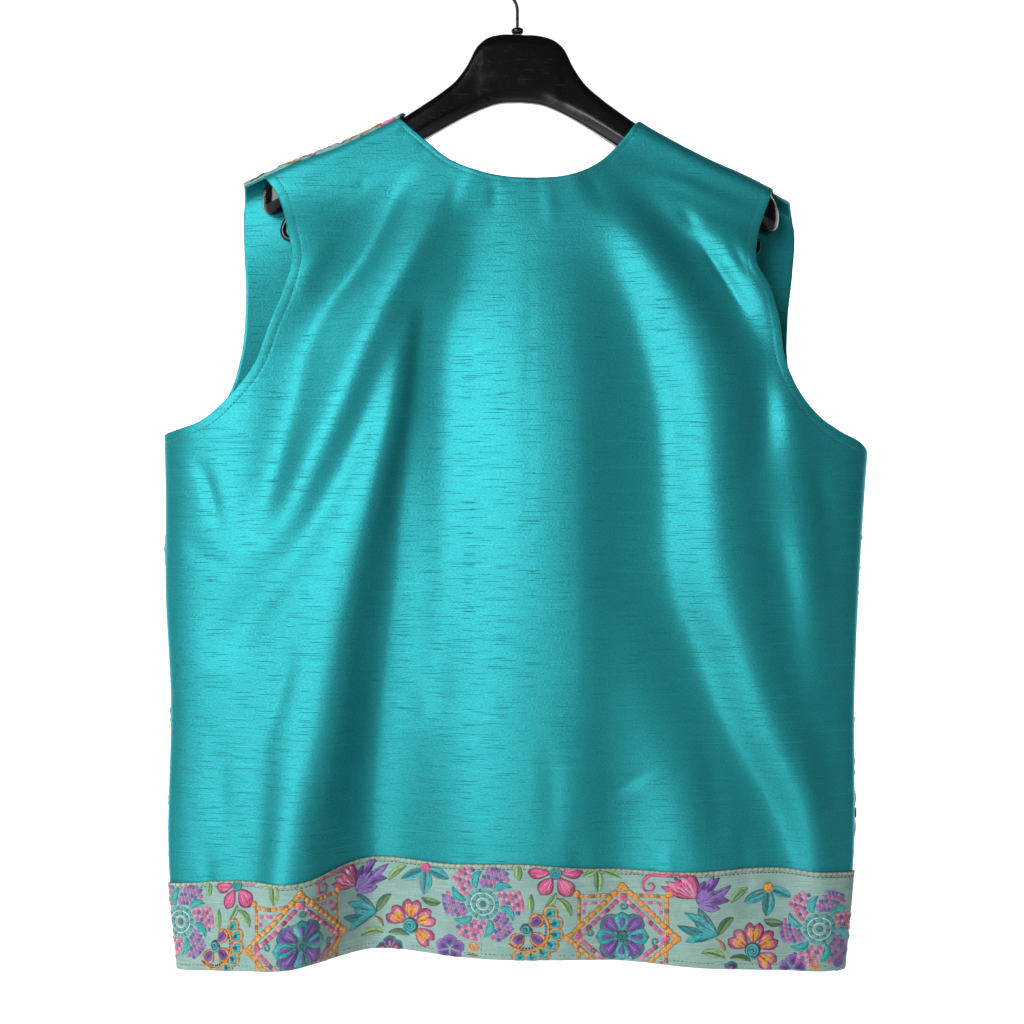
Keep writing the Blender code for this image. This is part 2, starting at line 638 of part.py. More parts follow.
def moved_out(points, distance, outward):
    """Grid moved along its normals, away from the body for a positive distance."""
    normal = grid_normals(points)
    middle = normal[normal.shape[0] // 2, normal.shape[1] // 2]
    facing = outward if middle[1] > 0.0 else -outward
    return points + normal * distance * facing


def new_object(name, mesh, colour, roughness, metallic=0.0):
    """Object in the model's collection, with a Principled material of its own."""
    material = bpy.data.materials.new(name)
    material.use_nodes = True
    shader = material.node_tree.nodes["Principled BSDF"]
    shader.inputs["Base Color"].default_value = (*colour, 1.0)
    shader.inputs["Roughness"].default_value = roughness
    shader.inputs["Metallic"].default_value = metallic
    obj = bpy.data.objects.new(name, mesh)
    obj.data.materials.append(material)
    bpy.data.collections["Waistcoat on hanger"].objects.link(obj)
    return obj


def cloth(name, points, wall, outward, colour, roughness, thicken=1.0):
    """Cloth wall: the grid as an open surface that faces away from the body.

    It is thickened outwards, or for thicken -1 inwards.
    """
    rows, columns = points.shape[:2]
    corner = np.arange(rows * columns).reshape(rows, columns)
    quads = np.stack([corner[:-1, :-1], corner[:-1, 1:], corner[1:, 1:], corner[1:, :-1]],
                     axis=-1).reshape(-1, 4)
    normal = grid_normals(points)[rows // 2, columns // 2]
    if normal[1] * outward < 0.0:
        quads = quads[:, ::-1]
    mesh = bpy.data.meshes.new(name)
    mesh.from_pydata((points.reshape(-1, 3) * MM).tolist(), [], quads.tolist())
    mesh.shade_smooth()
    obj = new_object(name, mesh, colour, roughness)
    solidify = obj.modifiers.new("Cloth thickness", "SOLIDIFY")
    solidify.thickness = wall * MM
    solidify.offset = thicken
    solidify.use_even_offset = False
    return obj


def hanger_body():
    """Hanger: sections across the arms, lofted from one rounded end to the other."""
    knots = [station.out for station in ARM if station.out < ARM_END]
    between = [(start + end) / 2.0 for start, end in zip(knots, knots[1:])]
    rounding = [ARM_END - ARM_ROUND * share for share in (1.0, 0.45, 0.2, 0.04)]
    outs = sorted(knots + between + rounding)
    stations = [-out for out in outs[:0:-1]] + outs
    # Half section: share of the half depth, and distance down from the top or, when
    # negative, up from the bottom
    half_section = [(0.0, 0.0), (0.45, 1.1), (0.8, 4.0), (0.96, 7.2), (1.0, ARM_ROLL),
                    (1.0, -CHAMFER_HEIGHT), (CHAMFER_WIDTH, 0.0)]
    mesh = bmesh.new()
    rings = []
    for out in stations:
        x = out + HEAD_X
        top, bottom = float(arm_profile(x, "top")), float(arm_profile(x, "bottom"))
        depth, bow = float(arm_profile(x, "half_depth")), float(arm_profile(x, "bow"))
        into_end = max(0.0, abs(out) - (ARM_END - ARM_ROUND)) / (ARM_ROUND * END_BLUNTNESS)
        size = math.sqrt(1.0 - into_end ** 2)
        centre_z = (top + bottom) / 2.0
        ring = []
        last = len(half_section) - 1
        outline = [(1.0, i) for i in range(last + 1)] + [(-1.0, i) for i in range(last, 0, -1)]
        for side, index in outline:
            share, drop = half_section[index]
            z = bottom - drop if index >= last - 1 else top - drop
            place = (x, bow + side * share * depth * size, centre_z + (z - centre_z) * size)
            ring.append(mesh.verts.new([value * MM for value in place]))
        rings.append(ring)
    for ring, following in zip(rings, rings[1:]):
        for i in range(len(ring)):
            j = (i + 1) % len(ring)
            mesh.faces.new([ring[i], ring[j], following[j], following[i]])
    mesh.faces.new(rings[0])
    mesh.faces.new(rings[-1][::-1])
    bmesh.ops.recalc_face_normals(mesh, faces=mesh.faces)
    data = bpy.data.meshes.new("hanger_body")
    mesh.to_mesh(data)
    mesh.free()
    data.shade_smooth()
    data.set_sharp_from_angle(angle=math.radians(35.0))
    return new_object("hanger_body", data, (0.004, 0.005, 0.006), 0.22)


def wire(name, points, radius, colour, roughness, metallic=0.0):
    """Round wire or rod along a path of straight steps, with closed ends."""
    curve = bpy.data.curves.new(name, "CURVE")
    curve.dimensions = "3D"
    curve.bevel_depth = radius * MM
    curve.bevel_resolution = 2
    curve.use_fill_caps = True
    spline = curve.splines.new("POLY")
    spline.points.add(len(points) - 1)
    for point, place in zip(spline.points, points):
        point.co = (*(value * MM for value in place), 1.0)
    return new_object(name, curve, colour, roughness, metallic)


def hanger_hook():
    """Hook: straight stem, a bend to the left, then a round turn over the rail."""
    centre_z = WIRE_RADIUS - HOOK_RADIUS
    reach = HOOK_RADIUS + HOOK_BEND_RADIUS
    turn = math.acos((HOOK_BEND_RADIUS - STEM_X) / reach)
    bend_z = centre_z - reach * math.sin(turn)
    path = [(STEM_X, 0.0, COLLAR_TOP + SEAM_GAP), (STEM_X, 0.0, bend_z - 6.0)]
    bend_centre_x = STEM_X - HOOK_BEND_RADIUS
    for angle in np.linspace(0.0, turn, 6):
        path.append((bend_centre_x + HOOK_BEND_RADIUS * math.cos(angle), 0.0,
                     bend_z + HOOK_BEND_RADIUS * math.sin(angle)))
    for angle in np.linspace(math.pi + turn, HOOK_END_ANGLE, 22)[1:]:
        path.append((HOOK_RADIUS * math.cos(angle), 0.0,
                     centre_z + HOOK_RADIUS * math.sin(angle)))
    return wire("hanger_hook", path, WIRE_RADIUS, (0.01, 0.01, 0.011), 0.3, 0.6)


def hanger_bar():
    """Trouser bar: straight rod whose ends bulge out and turn up to the arms."""
    y = float(arm_profile(HEAD_X - BAR_OUT, "bow"))
    path = []
    # The bend at one end, from its seat under the arm: inward from the bar's outermost
    # point, and down from the seat
    bend = [(5.0, 0.0), (3.4, 5.0), (1.0, 9.5), (0.0, 13.5), (0.7, 17.1), (3.0, 19.8),
            (7.0, 21.1), (14.0, 21.5)]
    for side, offsets in ((-1.0, bend), (1.0, bend[::-1])):
        end_x = HEAD_X + side * BAR_OUT
        seat_z = float(arm_profile(end_x - side * bend[0][0], "bottom")) - BAR_SEAT
        path += [(end_x - side * inward, y, seat_z - down) for inward, down in offsets]
    return wire("hanger_bar", path, BAR_RADIUS, (0.004, 0.005, 0.006), 0.3)


def hanger_collar():
    """Collar: turned bead between the head and the hook's stem."""
    profile = [(0.0, 0.0), (0.55, 0.0), (0.86, 0.14), (1.0, 0.42), (0.97, 0.66),
               (0.8, 0.9), (0.6, 1.0), (0.0, 1.0)]
    mesh = bpy.data.meshes.new("hanger_collar")
    mesh.from_pydata([(share * COLLAR_RADIUS * MM, 0.0, -down * COLLAR_HEIGHT * MM)
                      for share, down in profile],
                     [(i, i + 1) for i in range(len(profile) - 1)], [])
    obj = new_object("hanger_collar", mesh, (0.004, 0.005, 0.006), 0.25)
    obj.location = (STEM_X * MM, 0.0, COLLAR_TOP * MM)
    screw = obj.modifiers.new("Turn", "SCREW")
    screw.steps = 20
    screw.render_steps = 20
    screw.use_merge_vertices = True
    screw.merge_threshold = 0.00001
    return obj


def main():
    """Clear the scene and build every piece."""
    for obj in list(bpy.data.objects):
        bpy.data.objects.remove(obj, do_unlink=True)
    collection = bpy.data.collections.new("Waistcoat on hanger")
    bpy.context.scene.collection.children.link(collection)

    satin = (0.05, 0.42, 0.47)
    ground = (0.36, 0.52, 0.49)
    lining = (0.02, 0.26, 0.29)
    back = back_points()
    cloth("back_panel", back, BACK_WALL, -1.0, satin, 0.4)
    on_back = moved_out(back, BACK_WALL + SEAM_GAP, -1.0)
    cloth("back_hem_band", on_back[:BAND_ROWS + 1], BAND_WALL, -1.0, ground, 0.8)
    for side, name in ((-1.0, "left"), (1.0, "right")):
        front = front_points(side)
        cloth("front_" + name, front, FRONT_WALL, 1.0, ground, 0.8)
        inside = moved_out(front, -SEAM_GAP, 1.0)
        cloth("front_lining_" + name, inside, LINING_WALL, 1.0, lining, 0.45, thicken=-1.0)
    hanger_body()
    hanger_bar()
    hanger_collar()
    hanger_hook()


main()
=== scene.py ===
"""Embroidered waistcoat on a moulded suit hanger, seen from behind, dressed for a render.

Tables and formulas are in millimetres and become metres when a mesh is made. Cloth is laid
out in flat coordinates (x, v): below the fall line, 10 mm under the top of the hanger's arm,
v is the height, and above it v is the length of cloth that rolls over the arm.
"""
import math
from collections import namedtuple

import bpy
import numpy as np
from bpy.props import FloatProperty, FloatVectorProperty, PointerProperty
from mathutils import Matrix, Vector


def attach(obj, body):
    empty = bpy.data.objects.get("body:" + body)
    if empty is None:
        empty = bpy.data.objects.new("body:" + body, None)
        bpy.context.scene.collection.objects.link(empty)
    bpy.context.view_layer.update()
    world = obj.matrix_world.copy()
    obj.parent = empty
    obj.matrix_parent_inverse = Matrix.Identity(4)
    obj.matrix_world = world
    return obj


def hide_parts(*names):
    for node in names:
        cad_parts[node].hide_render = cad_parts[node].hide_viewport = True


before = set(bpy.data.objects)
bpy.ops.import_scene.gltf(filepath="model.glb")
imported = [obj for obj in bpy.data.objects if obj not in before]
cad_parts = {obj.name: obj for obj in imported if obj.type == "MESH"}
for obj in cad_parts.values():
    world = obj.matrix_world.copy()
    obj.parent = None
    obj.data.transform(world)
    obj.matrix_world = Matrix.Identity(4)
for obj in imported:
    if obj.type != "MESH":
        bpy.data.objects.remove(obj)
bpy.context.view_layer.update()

bl_info = {
    "name": "Embroidered waistcoat on a hanger",
    "version": (1, 0, 0),
    "blender": (4, 5, 0),
    "location": "3D View > Sidebar > Waistcoat",
    "description": "Cloth, embroidery, stitching and hanger of a sleeveless waistcoat",
    "category": "Add Mesh",
}

MM = 0.001
BODY = "root"

# Cloth off the seams and the arm: slope of the ease in from a side seam, height below the
# fall line over which creases begin, deepest crease beside the arm, step for the normals
SEAM_EASE = 6.0
CREASE_START = 12.0
ARM_CREASE = 0.25
NORMAL_STEP = 0.4

# Finished edges: spacing of the path's points, the stitched groove's depth and width, the
# reach of the puckers
EDGE_STEP = 1.5
GROOVE_DEPTH = 0.22
GROOVE_WIDTH = 0.9
PUCKER_REACH = 5.0
POINTS_AT_ONCE = 20000

# Cloth walls and gaps, as in the part's source
FRONT_WALL = 1.5
BACK_WALL = 1.5
LINING_WALL = 1.0
BAND_WALL = 1.0
SEAM_GAP = 0.3
BAND_HEIGHT_LEFT = 70.0
BAND_HEIGHT_RIGHT = 79.0

# Hanger, as in the part's source
WIRE_RADIUS = 1.4
HOOK_RADIUS = 20.0
HOOK_BEND_RADIUS = 16.0
HOOK_END_ANGLE = math.radians(-38.0)
STEM_X = 0.4
COLLAR_TOP = -65.0
COLLAR_HEIGHT = 5.2
COLLAR_RADIUS = 5.2
HEAD_X = 3.0
HANGER_TILT = math.tan(math.radians(2.0))
ARM_ROLL = 10.0
ARM_END = 213.0
ARM_ROUND = 13.5
END_BLUNTNESS = 1.03
BAR_RADIUS = 2.6
BAR_OUT = 196.0
BAR_SEAT = 2.2
ARM_SPACE = LINING_WALL + 2.0 * SEAM_GAP + 0.3
SEAM_ANGLE_LEFT = math.radians(52.0)
SEAM_ANGLE_RIGHT = math.radians(-14.0)
QUARTER = math.pi / 2.0

# Arm's section, as shares of its half-depth and places down one side: mm below the top over
# the round ridge, shares of the height on the straight side, mm above the bottom on the
# cut-off corner
RIDGE_SECTION = [(0.0, 0.0), (0.25, 0.3), (0.45, 1.1), (0.66, 2.4), (0.8, 4.0),
                 (0.9, 5.6), (0.96, 7.2), (0.99, 8.7), (1.0, ARM_ROLL)]
FLANK_SECTION = [(1.0, 0.4), (1.0, 0.8)]
CORNER_SECTION = [(1.0, 11.5), (0.985, 9.4), (0.93, 7.6), (0.8, 4.6), (0.68, 1.6),
                  (0.6, 0.4), (0.3, 0.0)]

ArmStation = namedtuple("ArmStation", "out top bottom half_depth bow")
ARM = [
    ArmStation(0.0, -70.6, -126.5, 7.0, 0.0),
    ArmStation(18.0, -71.4, -128.2, 7.0, 0.0),
    ArmStation(31.0, -76.5, -132.9, 7.0, 0.0),
    ArmStation(36.5, -82.0, -135.4, 7.0, 0.1),
    ArmStation(42.5, -94.0, -138.4, 7.2, 0.2),
    ArmStation(52.0, -108.0, -143.6, 7.6, 0.4),
    ArmStation(65.0, -119.5, -151.2, 8.4, 0.7),
    ArmStation(82.0, -131.5, -161.7, 9.5, 1.2),
    ArmStation(98.0, -142.0, -171.8, 10.6, 1.8),
    ArmStation(121.0, -154.0, -185.0, 12.3, 3.2),
    ArmStation(153.0, -169.2, -202.0, 14.8, 5.4),
    ArmStation(186.0, -182.2, -218.0, 17.0, 8.2),
    ArmStation(213.0, -195.0, -230.0, 18.0, 10.6),
    ArmStation(236.0, -207.0, -241.0, 18.4, 12.4),
]

FormStation = namedtuple("FormStation", "z back front")
FORM = [
    FormStation(-120.0, -15.0, 38.0),
    FormStation(-190.0, -22.0, 40.0),
    FormStation(-300.0, -33.0, 42.0),
    FormStation(-450.0, -37.0, 46.0),
    FormStation(-620.0, -30.0, 48.0),
    FormStation(-840.0, -22.0, 50.0),
]
SIDE_DEPTH = 4.0
SIDE_POWER = 3.2
SIDE_ROUND = 2.2
DRAPE_LENGTH = 95.0
FOLD_START = 12.0
FOLD_FULL = 60.0

# Outlines seen from behind, (x to the right, height z)
SIDE_LEFT = [(-277.0, -836.0), (-284.5, -760.0), (-283.5, -607.0), (-287.5, -530.0),
             (-287.5, -450.0), (-288.5, -399.0)]
SIDE_RIGHT = [(267.5, -836.0), (275.0, -756.0), (276.5, -607.0), (283.0, -471.0),
              (287.0, -413.5)]
BACK_ARMHOLE_LEFT = [(-288.5, -399.0), (-277.0, -395.5), (-255.0, -388.0), (-234.0, -371.0),
                     (-212.0, -344.0), (-199.0, -311.0), (-186.0, -280.0),
                     (-180.5, -258.0), (-185.0, -233.0), (-198.0, -198.0)]
BACK_ARMHOLE_RIGHT = [(287.0, -413.5), (281.0, -407.0), (261.0, -396.5), (245.0, -386.0),
                      (231.0, -371.0), (217.0, -343.0), (209.5, -303.0), (203.5, -281.0),
                      (192.5, -260.0), (195.0, -237.0), (203.0, -213.0)]
FRONT_ARMHOLE_LEFT = [(-288.5, -399.0), (-279.0, -395.0), (-261.0, -387.5),
                      (-243.0, -367.0), (-231.0, -331.0), (-227.0, -286.0),
                      (-228.5, -233.0), (-228.5, -210.0)]
FRONT_ARMHOLE_RIGHT = [(287.0, -413.5), (283.0, -408.0), (267.0, -400.0), (241.0, -374.0),
                       (229.0, -347.0), (227.0, -300.0), (231.0, -260.0), (232.0, -224.0)]
BACK_TIPS = (-206.0, 212.0)
FRONT_TIPS = (-223.0, 226.0)
NECK_ENDS = (-96.0, 104.0)
NECKLINE = [(-75.0, -159.5), (-53.5, -177.0), (-24.5, -188.5), (12.0, -192.5),
            (47.5, -188.5), (67.5, -178.0), (81.5, -164.5)]
HEM = [(-277.0, -836.0), (-205.0, -830.5), (-130.0, -825.0), (-60.0, -824.5),
       (30.0, -824.5), (125.0, -828.0), (210.0, -833.0), (267.5, -836.0)]
BAND_TOP = [(-226.0, -760.5), (-176.0, -760.0), (-136.0, -749.5), (-57.0, -748.5),
            (6.0, -746.0), (58.0, -750.0), (123.0, -752.5), (210.0, -751.5)]
NECK_V_BOTTOM = -436.0
NECK_V_BOW = 9.0
FRONT_EDGE_TOP = 2.5
FRONT_EDGE_HEM = 9.0
FRONT_HEM = -832.0
FRONT_HEM_TURN = 215.0

# Folds of the hanging cloth. Each row is (x, z, width left, width right, depth), depth
# outward, negative for a trough; a fold dies away at its first or last row where it is 0.
BACK_FOLDS = {
    "pleat ridge": [
        (-84, -290, 30, 8, 0), (-90, -316, 32, 9, 3), (-98, -380, 38, 10, 6),
        (-114, -444, 42, 12, 8), (-131, -509, 46, 14, 9), (-143, -573, 48, 16, 10),
        (-152, -637, 50, 19, 12), (-168, -701, 46, 22, 14), (-190, -836, 44, 28, 16)],
    "pleat valley": [
        (-72, -290, 8, 34, 0), (-76, -316, 9, 38, -4), (-84, -380, 10, 44, -8),
        (-92, -444, 13, 48, -11), (-97, -509, 20, 52, -15), (-104, -573, 25, 54, -20),
        (-111, -637, 28, 58, -27), (-116, -701, 34, 60, -35), (-114, -836, 42, 66, -47)],
    "upper left trough": [
        (-92, -176, 40, 14, 0), (-106, -215, 48, 15, -7), (-124, -252, 48, 16, -9),
        (-168, -316, 36, 18, -7), (-184, -380, 26, 16, -5), (-198, -444, 20, 16, -4),
        (-206, -490, 16, 16, 0)],
    "left shoulder ridge": [
        (-188, -186, 16, 46, 0), (-186, -215, 16, 50, 6), (-180, -258, 16, 50, 7),
        (-192, -300, 18, 40, 4), (-206, -340, 18, 26, 0)],
    "upper left ridge": [
        (-62, -212, 16, 16, 0), (-82, -252, 20, 16, 6), (-116, -316, 22, 18, 8),
        (-142, -380, 22, 18, 7), (-170, -444, 22, 20, 6), (-196, -509, 24, 22, 4),
        (-222, -570, 24, 24, 0)],
    "left trough": [
        (-104, -310, 14, 14, 0), (-122, -380, 16, 16, -3), (-152, -444, 20, 18, -4),
        (-190, -505, 24, 20, -6), (-214, -545, 24, 20, -5), (-238, -590, 22, 20, 0)],
    "low left trough": [
        (-206, -620, 16, 12, 0), (-204, -665, 20, 12, -2), (-206, -720, 24, 11, -4),
        (-212, -790, 24, 11, -3), (-214, -836, 24, 12, -2)],
    "centre left hollow": [
        (-28, -195, 22, 26, 0), (-35, -252, 24, 34, -4), (-50, -316, 26, 44, -6),
        (-52, -400, 24, 46, -6), (-52, -500, 20, 44, -4), (-52, -573, 16, 34, -2.5),
        (-52, -645, 14, 26, 0)],
    "centre swell": [
        (38, -260, 60, 26, 0), (46, -400, 64, 24, 5), (48, -500, 64, 24, 6),
        (46, -620, 64, 26, 6), (40, -740, 62, 30, 3), (24, -836, 60, 40, -6)],
    "right of centre trough": [
        (62, -230, 26, 20, 0), (94, -316, 32, 22, -6), (110, -380, 36, 24, -8),
        (114, -444, 38, 26, -9), (116, -509, 40, 28, -10), (140, -573, 40, 26, -11),
        (166, -637, 40, 22, -10), (204, -701, 44, 20, -10), (228, -770, 40, 20, -8),
        (238, -836, 36, 20, -5)],
    "right ridge": [
        (84, -205, 20, 18, 0), (107, -252, 24, 18, 5), (148, -316, 28, 22, 6),
        (160, -380, 30, 24, 7), (164, -444, 30, 28, 7), (172, -509, 30, 30, 7),
        (188, -573, 28, 28, 8), (210, -637, 24, 26, 9), (238, -701, 24, 22, 9),
        (248, -770, 26, 20, 8), (250, -836, 28, 18, 8)],
    "right trough": [
        (192, -330, 16, 14, 0), (199, -380, 16, 14, -5), (192, -444, 16, 18, -1.5),
        (214, -509, 20, 14, -3), (222, -573, 22, 18, -2), (226, -620, 22, 18, 0)],
    "narrow right ridge": [
        (206, -345, 12, 12, 0), (219, -385, 14, 14, 3), (228, -444, 18, 16, 4),
        (234, -509, 16, 16, 5), (240, -573, 16, 16, 3), (246, -640, 16, 16, 0)],
    "right shoulder trough": [
        (92, -182, 18, 18, 0), (114, -216, 22, 20, -4), (150, -255, 26, 20, -7),
        (184, -310, 26, 20, -6), (204, -350, 22, 18, -2), (210, -380, 20, 18, 0)],
    "right shoulder ridge": [
        (150, -200, 34, 18, 0), (176, -235, 30, 18, 4), (196, -285, 20, 16, 4),
        (208, -335, 18, 16, 0)],
    "hem trough in the middle": [
        (76, -600, 24, 40, 0), (82, -660, 26, 42, -4), (84, -730, 28, 46, -8),
        (84, -836, 40, 52, -13)],
    "hem ridge on the right": [
        (128, -640, 34, 28, 0), (136, -710, 36, 28, 4), (144, -836, 36, 30, 5)],
}
FRONT_FOLDS = {
    "left chest trough": [
        (-120, -230, 20, 24, 0), (-150, -330, 24, 26, -7), (-180, -420, 26, 28, -8),
        (-196, -520, 26, 28, 0)],
    "left waist ridge": [
        (-110, -420, 30, 26, 0), (-118, -560, 34, 28, 8), (-126, -700, 38, 30, 12),
        (-130, -836, 42, 32, 14)],
    "left hem trough": [
        (-196, -560, 22, 22, 0), (-204, -700, 26, 26, -7), (-210, -836, 30, 30, -11)],
    "left edge trough": [
        (-40, -470, 20, 20, 0), (-44, -640, 22, 22, -5), (-50, -836, 24, 24, -8)],
    "right chest trough": [
        (110, -240, 22, 20, 0), (132, -340, 24, 22, -6), (150, -450, 26, 24, -9),
        (178, -560, 26, 24, 0)],
    "right waist ridge": [
        (86, -400, 26, 28, 0), (92, -540, 28, 30, 7), (104, -690, 32, 34, 13),
        (118, -836, 34, 40, 13)],
    "right hem trough": [
        (206, -600, 22, 24, 0), (202, -720, 24, 26, -8), (198, -836, 28, 28, -12)],
    "right edge trough": [
        (34, -520, 18, 20, 0), (40, -680, 20, 22, -6), (44, -836, 22, 24, -9)],
}

# Small creases, listed in the same way. They are softer and shorter than folds.
BACK_CREASES = {
    "right shoulder wrinkle": [
        (104, -168, 16, 16, 0), (122, -178, 14, 14, -1.7), (156, -194, 14, 14, -1.5),
        (196, -214, 16, 16, 0)],
    "right shoulder wrinkle below": [
        (112, -184, 14, 14, 0), (138, -196, 14, 14, 1.6), (170, -212, 16, 14, 1.3),
        (200, -232, 16, 16, 0)],
    "dent under the right neck corner": [
        (106, -170, 6, 6, 0), (111, -179, 7, 7, -1.8), (117, -190, 6, 6, 0)],
    "dent on the right shoulder": [
        (131, -212, 6, 6, 0), (139, -223, 7, 6, -1.9), (146, -236, 6, 6, 0)],
    "thin crease to the right armhole": [
        (146, -238, 5, 5, 0), (160, -262, 5, 6, -1.9), (176, -288, 6, 6, -1.3),
        (186, -306, 5, 5, 0)],
    "second thin crease": [
        (168, -236, 4, 5, 0), (180, -258, 5, 5, -1.2), (188, -276, 4, 5, 0)],
    "left shoulder wrinkle": [
        (-112, -176, 12, 12, 0), (-138, -200, 12, 12, -1.4), (-158, -222, 12, 12, 0)],
    "left armhole drag": [
        (-150, -236, 10, 10, 0), (-166, -268, 9, 9, 1.4), (-176, -300, 8, 9, 0)],
    "left underarm crease": [
        (-262, -414, 8, 8, 0), (-250, -438, 6, 6, -1.9), (-243, -462, 6, 6, -1.2),
        (-240, -480, 6, 6, 0)],
    "left side drag": [
        (-276, -470, 14, 14, 0), (-262, -492, 14, 14, -1.5), (-240, -508, 14, 14, 0)],
    "right underarm crease": [
        (238, -418, 8, 8, 0), (246, -446, 8, 7, -1.6), (252, -476, 7, 7, 0)],
    "right side drag": [
        (262, -500, 10, 10, 0), (254, -540, 9, 10, 1.4), (250, -590, 9, 9, 0)],
    "centre crease": [
        (10.5, -206, 2.6, 2.6, 0), (10.0, -300, 2.4, 2.8, -0.22),
        (9.5, -470, 2.4, 2.6, -0.2), (10.5, -600, 2.6, 2.6, 0)],
    "soft diagonal above the band": [
        (108, -668, 8, 9, 0), (92, -678, 9, 10, -1.2), (72, -692, 9, 10, -0.9),
        (52, -702, 8, 9, 0)],
    "beside the pleat": [
        (-64, -520, 9, 9, 0), (-66, -580, 9, 10, -1.4), (-60, -650, 9, 10, 0)],
    "short crease on the pleat ridge": [
        (-176, -560, 9, 7, 0), (-190, -610, 8, 8, -1.6), (-206, -664, 9, 9, 0)],
    "low left crease": [
        (-236, -640, 10, 9, 0), (-240, -690, 9, 10, -1.5), (-236, -744, 9, 9, 0)],
    "low centre crease": [
        (24, -640, 8, 8, 0), (28, -690, 8, 9, -1.1), (26, -738, 8, 8, 0)],
    "low right crease": [
        (150, -640, 9, 9, 0), (158, -686, 9, 10, -1.7), (160, -742, 9, 9, 0)],
    "neck pull left": [
        (-44, -186, 6, 6, 0), (-50, -204, 6, 6, -0.9), (-58, -226, 6, 6, 0)],
    "neck pull centre left": [
        (-16, -192, 5, 5, 0), (-18, -206, 5, 5, -0.8), (-20, -224, 5, 5, 0)],
    "neck pull centre": [
        (24, -194, 5, 5, 0), (26, -212, 5, 5, 0.7), (30, -236, 5, 5, 0)],
    "neck pull right": [
        (58, -186, 6, 6, 0), (64, -202, 6, 6, -1.0), (72, -222, 6, 6, 0)],
    "band pucker 1": [(-252, -728, 6, 6, 0), (-251, -748, 6, 6, -1.1), (-250, -836, 6, 6, 0)],
    "band pucker 2": [(-168, -716, 6, 6, 0), (-166, -744, 6, 6, 0.9), (-164, -836, 6, 6, 0)],
    "band pucker 3": [(-42, -722, 7, 6, 0), (-40, -744, 6, 6, -1.0), (-40, -836, 6, 6, 0)],
    "band pucker 4": [(48, -712, 6, 7, 0), (50, -742, 7, 6, -1.2), (52, -836, 6, 6, 0)],
    "band pucker 5": [(122, -726, 5, 6, 0), (122, -746, 6, 6, 0.9), (121, -836, 6, 6, 0)],
    "band pucker 6": [(182, -718, 6, 6, 0), (184, -744, 6, 7, -1.0), (186, -836, 6, 6, 0)],
}
FRONT_CREASES = {
    "left shoulder wrinkle": [
        (-112, -178, 12, 12, 0), (-150, -206, 12, 12, -1.5), (-186, -236, 12, 12, 0)],
    "left armhole drag": [
        (-196, -300, 9, 10, 0), (-206, -340, 9, 9, 1.5), (-220, -376, 9, 9, 0)],
    "left neck pull": [
        (-78, -250, 8, 8, 0), (-62, -300, 8, 9, -1.3), (-48, -350, 8, 8, 0)],
    "left waist crease": [
        (-70, -500, 10, 9, 0), (-80, -560, 9, 10, -1.6), (-84, -640, 10, 10, 0)],
    "left side crease": [
        (-250, -470, 9, 9, 0), (-244, -520, 8, 9, -1.8), (-240, -580, 9, 9, 0)],
    "left hem pucker": [
        (-160, -740, 8, 8, 0), (-158, -780, 8, 8, -1.2), (-158, -836, 8, 8, 0)],
    "right shoulder wrinkle": [
        (112, -180, 12, 12, 0), (146, -202, 12, 12, -1.3), (184, -232, 12, 12, 0)],
    "right armhole drag": [
        (192, -290, 10, 9, 0), (204, -330, 9, 9, -1.6), (216, -372, 9, 9, 0)],
    "right neck pull": [
        (84, -240, 8, 8, 0), (66, -296, 9, 8, 1.2), (50, -352, 8, 8, 0)],
    "right waist crease": [
        (148, -560, 9, 9, 0), (156, -620, 9, 10, -1.5), (158, -690, 9, 9, 0)],
    "right side crease": [
        (252, -460, 9, 8, 0), (244, -508, 8, 9, -1.5), (238, -556, 9, 9, 0)],
    "right hem pucker": [
        (78, -736, 8, 8, 0), (76, -780, 8, 8, 1.1), (74, -836, 8, 8, 0)],
}

# Fine grids of the shown cloth
BACK_COLUMNS = [(0.27, 50, "start"), (0.73, 80, "both"), (1.0, 50, "end")]
FRONT_COLUMNS = 92
LINING_COLUMNS = 40
CLOTH_ROWS = dict(band=26, side=112, hole=64, roll_step=1.8)
LINING_ROWS = dict(band=8, side=44, hole=28, roll_step=3.0)
EDGE_CROWDING = 0.55
# Painted shade on a pad's rim: the share of its thread's colour kept on its outer columns and end
# rows
PAINTED_RIM_SHADE = 0.05

# Where the band's pattern lies: the repeat's own length (from a rosette) against x, and its
# rise over the first rosette's height. The pleat takes up some of the first repeat.
PatternStation = namedtuple("PatternStation", "along x rise")
REPEAT = 274.0
PLEATED_REPEAT = [
    PatternStation(-40.0, -307.0, -8.0), PatternStation(0.0, -273.0, -8.0),
    PatternStation(34.0, -243.5, -5.5), PatternStation(58.0, -225.0, -1.5),
    PatternStation(74.0, -210.0, 1.5), PatternStation(90.0, -195.5, 1.0),
    PatternStation(112.3, -174.2, 6.5), PatternStation(150.0, -148.5, 9.5),
    PatternStation(171.7, -135.0, 12.5), PatternStation(189.0, -116.2, 18.5),
    PatternStation(216.8, -86.5, 23.0), PatternStation(250.0, -53.3, 24.0),
    PatternStation(274.0, -28.1, 25.0),
]
PLEATED_HEIGHT = -788.0
PLAIN_START = (-26.9, -778.5)

THREADS = {
    "hot pink": "dd5290", "light pink": "ee8db4", "magenta": "9c2f5c",
    "purple": "7647a8", "lilac": "9b76c8", "deep purple": "472c70",
    "teal": "10878c", "turquoise": "25b2b6", "deep teal": "0a5b62",
    "orange": "ee9c2b", "ochre": "a9671b", "light green": "98c57c",
    "leaf green": "6a9d58", "dark green": "3f6d3f", "cream": "dbe9da",
    "pale ground": "b3bfb4", "satin thread": "0f7d86", "hem thread": "24403c",
}


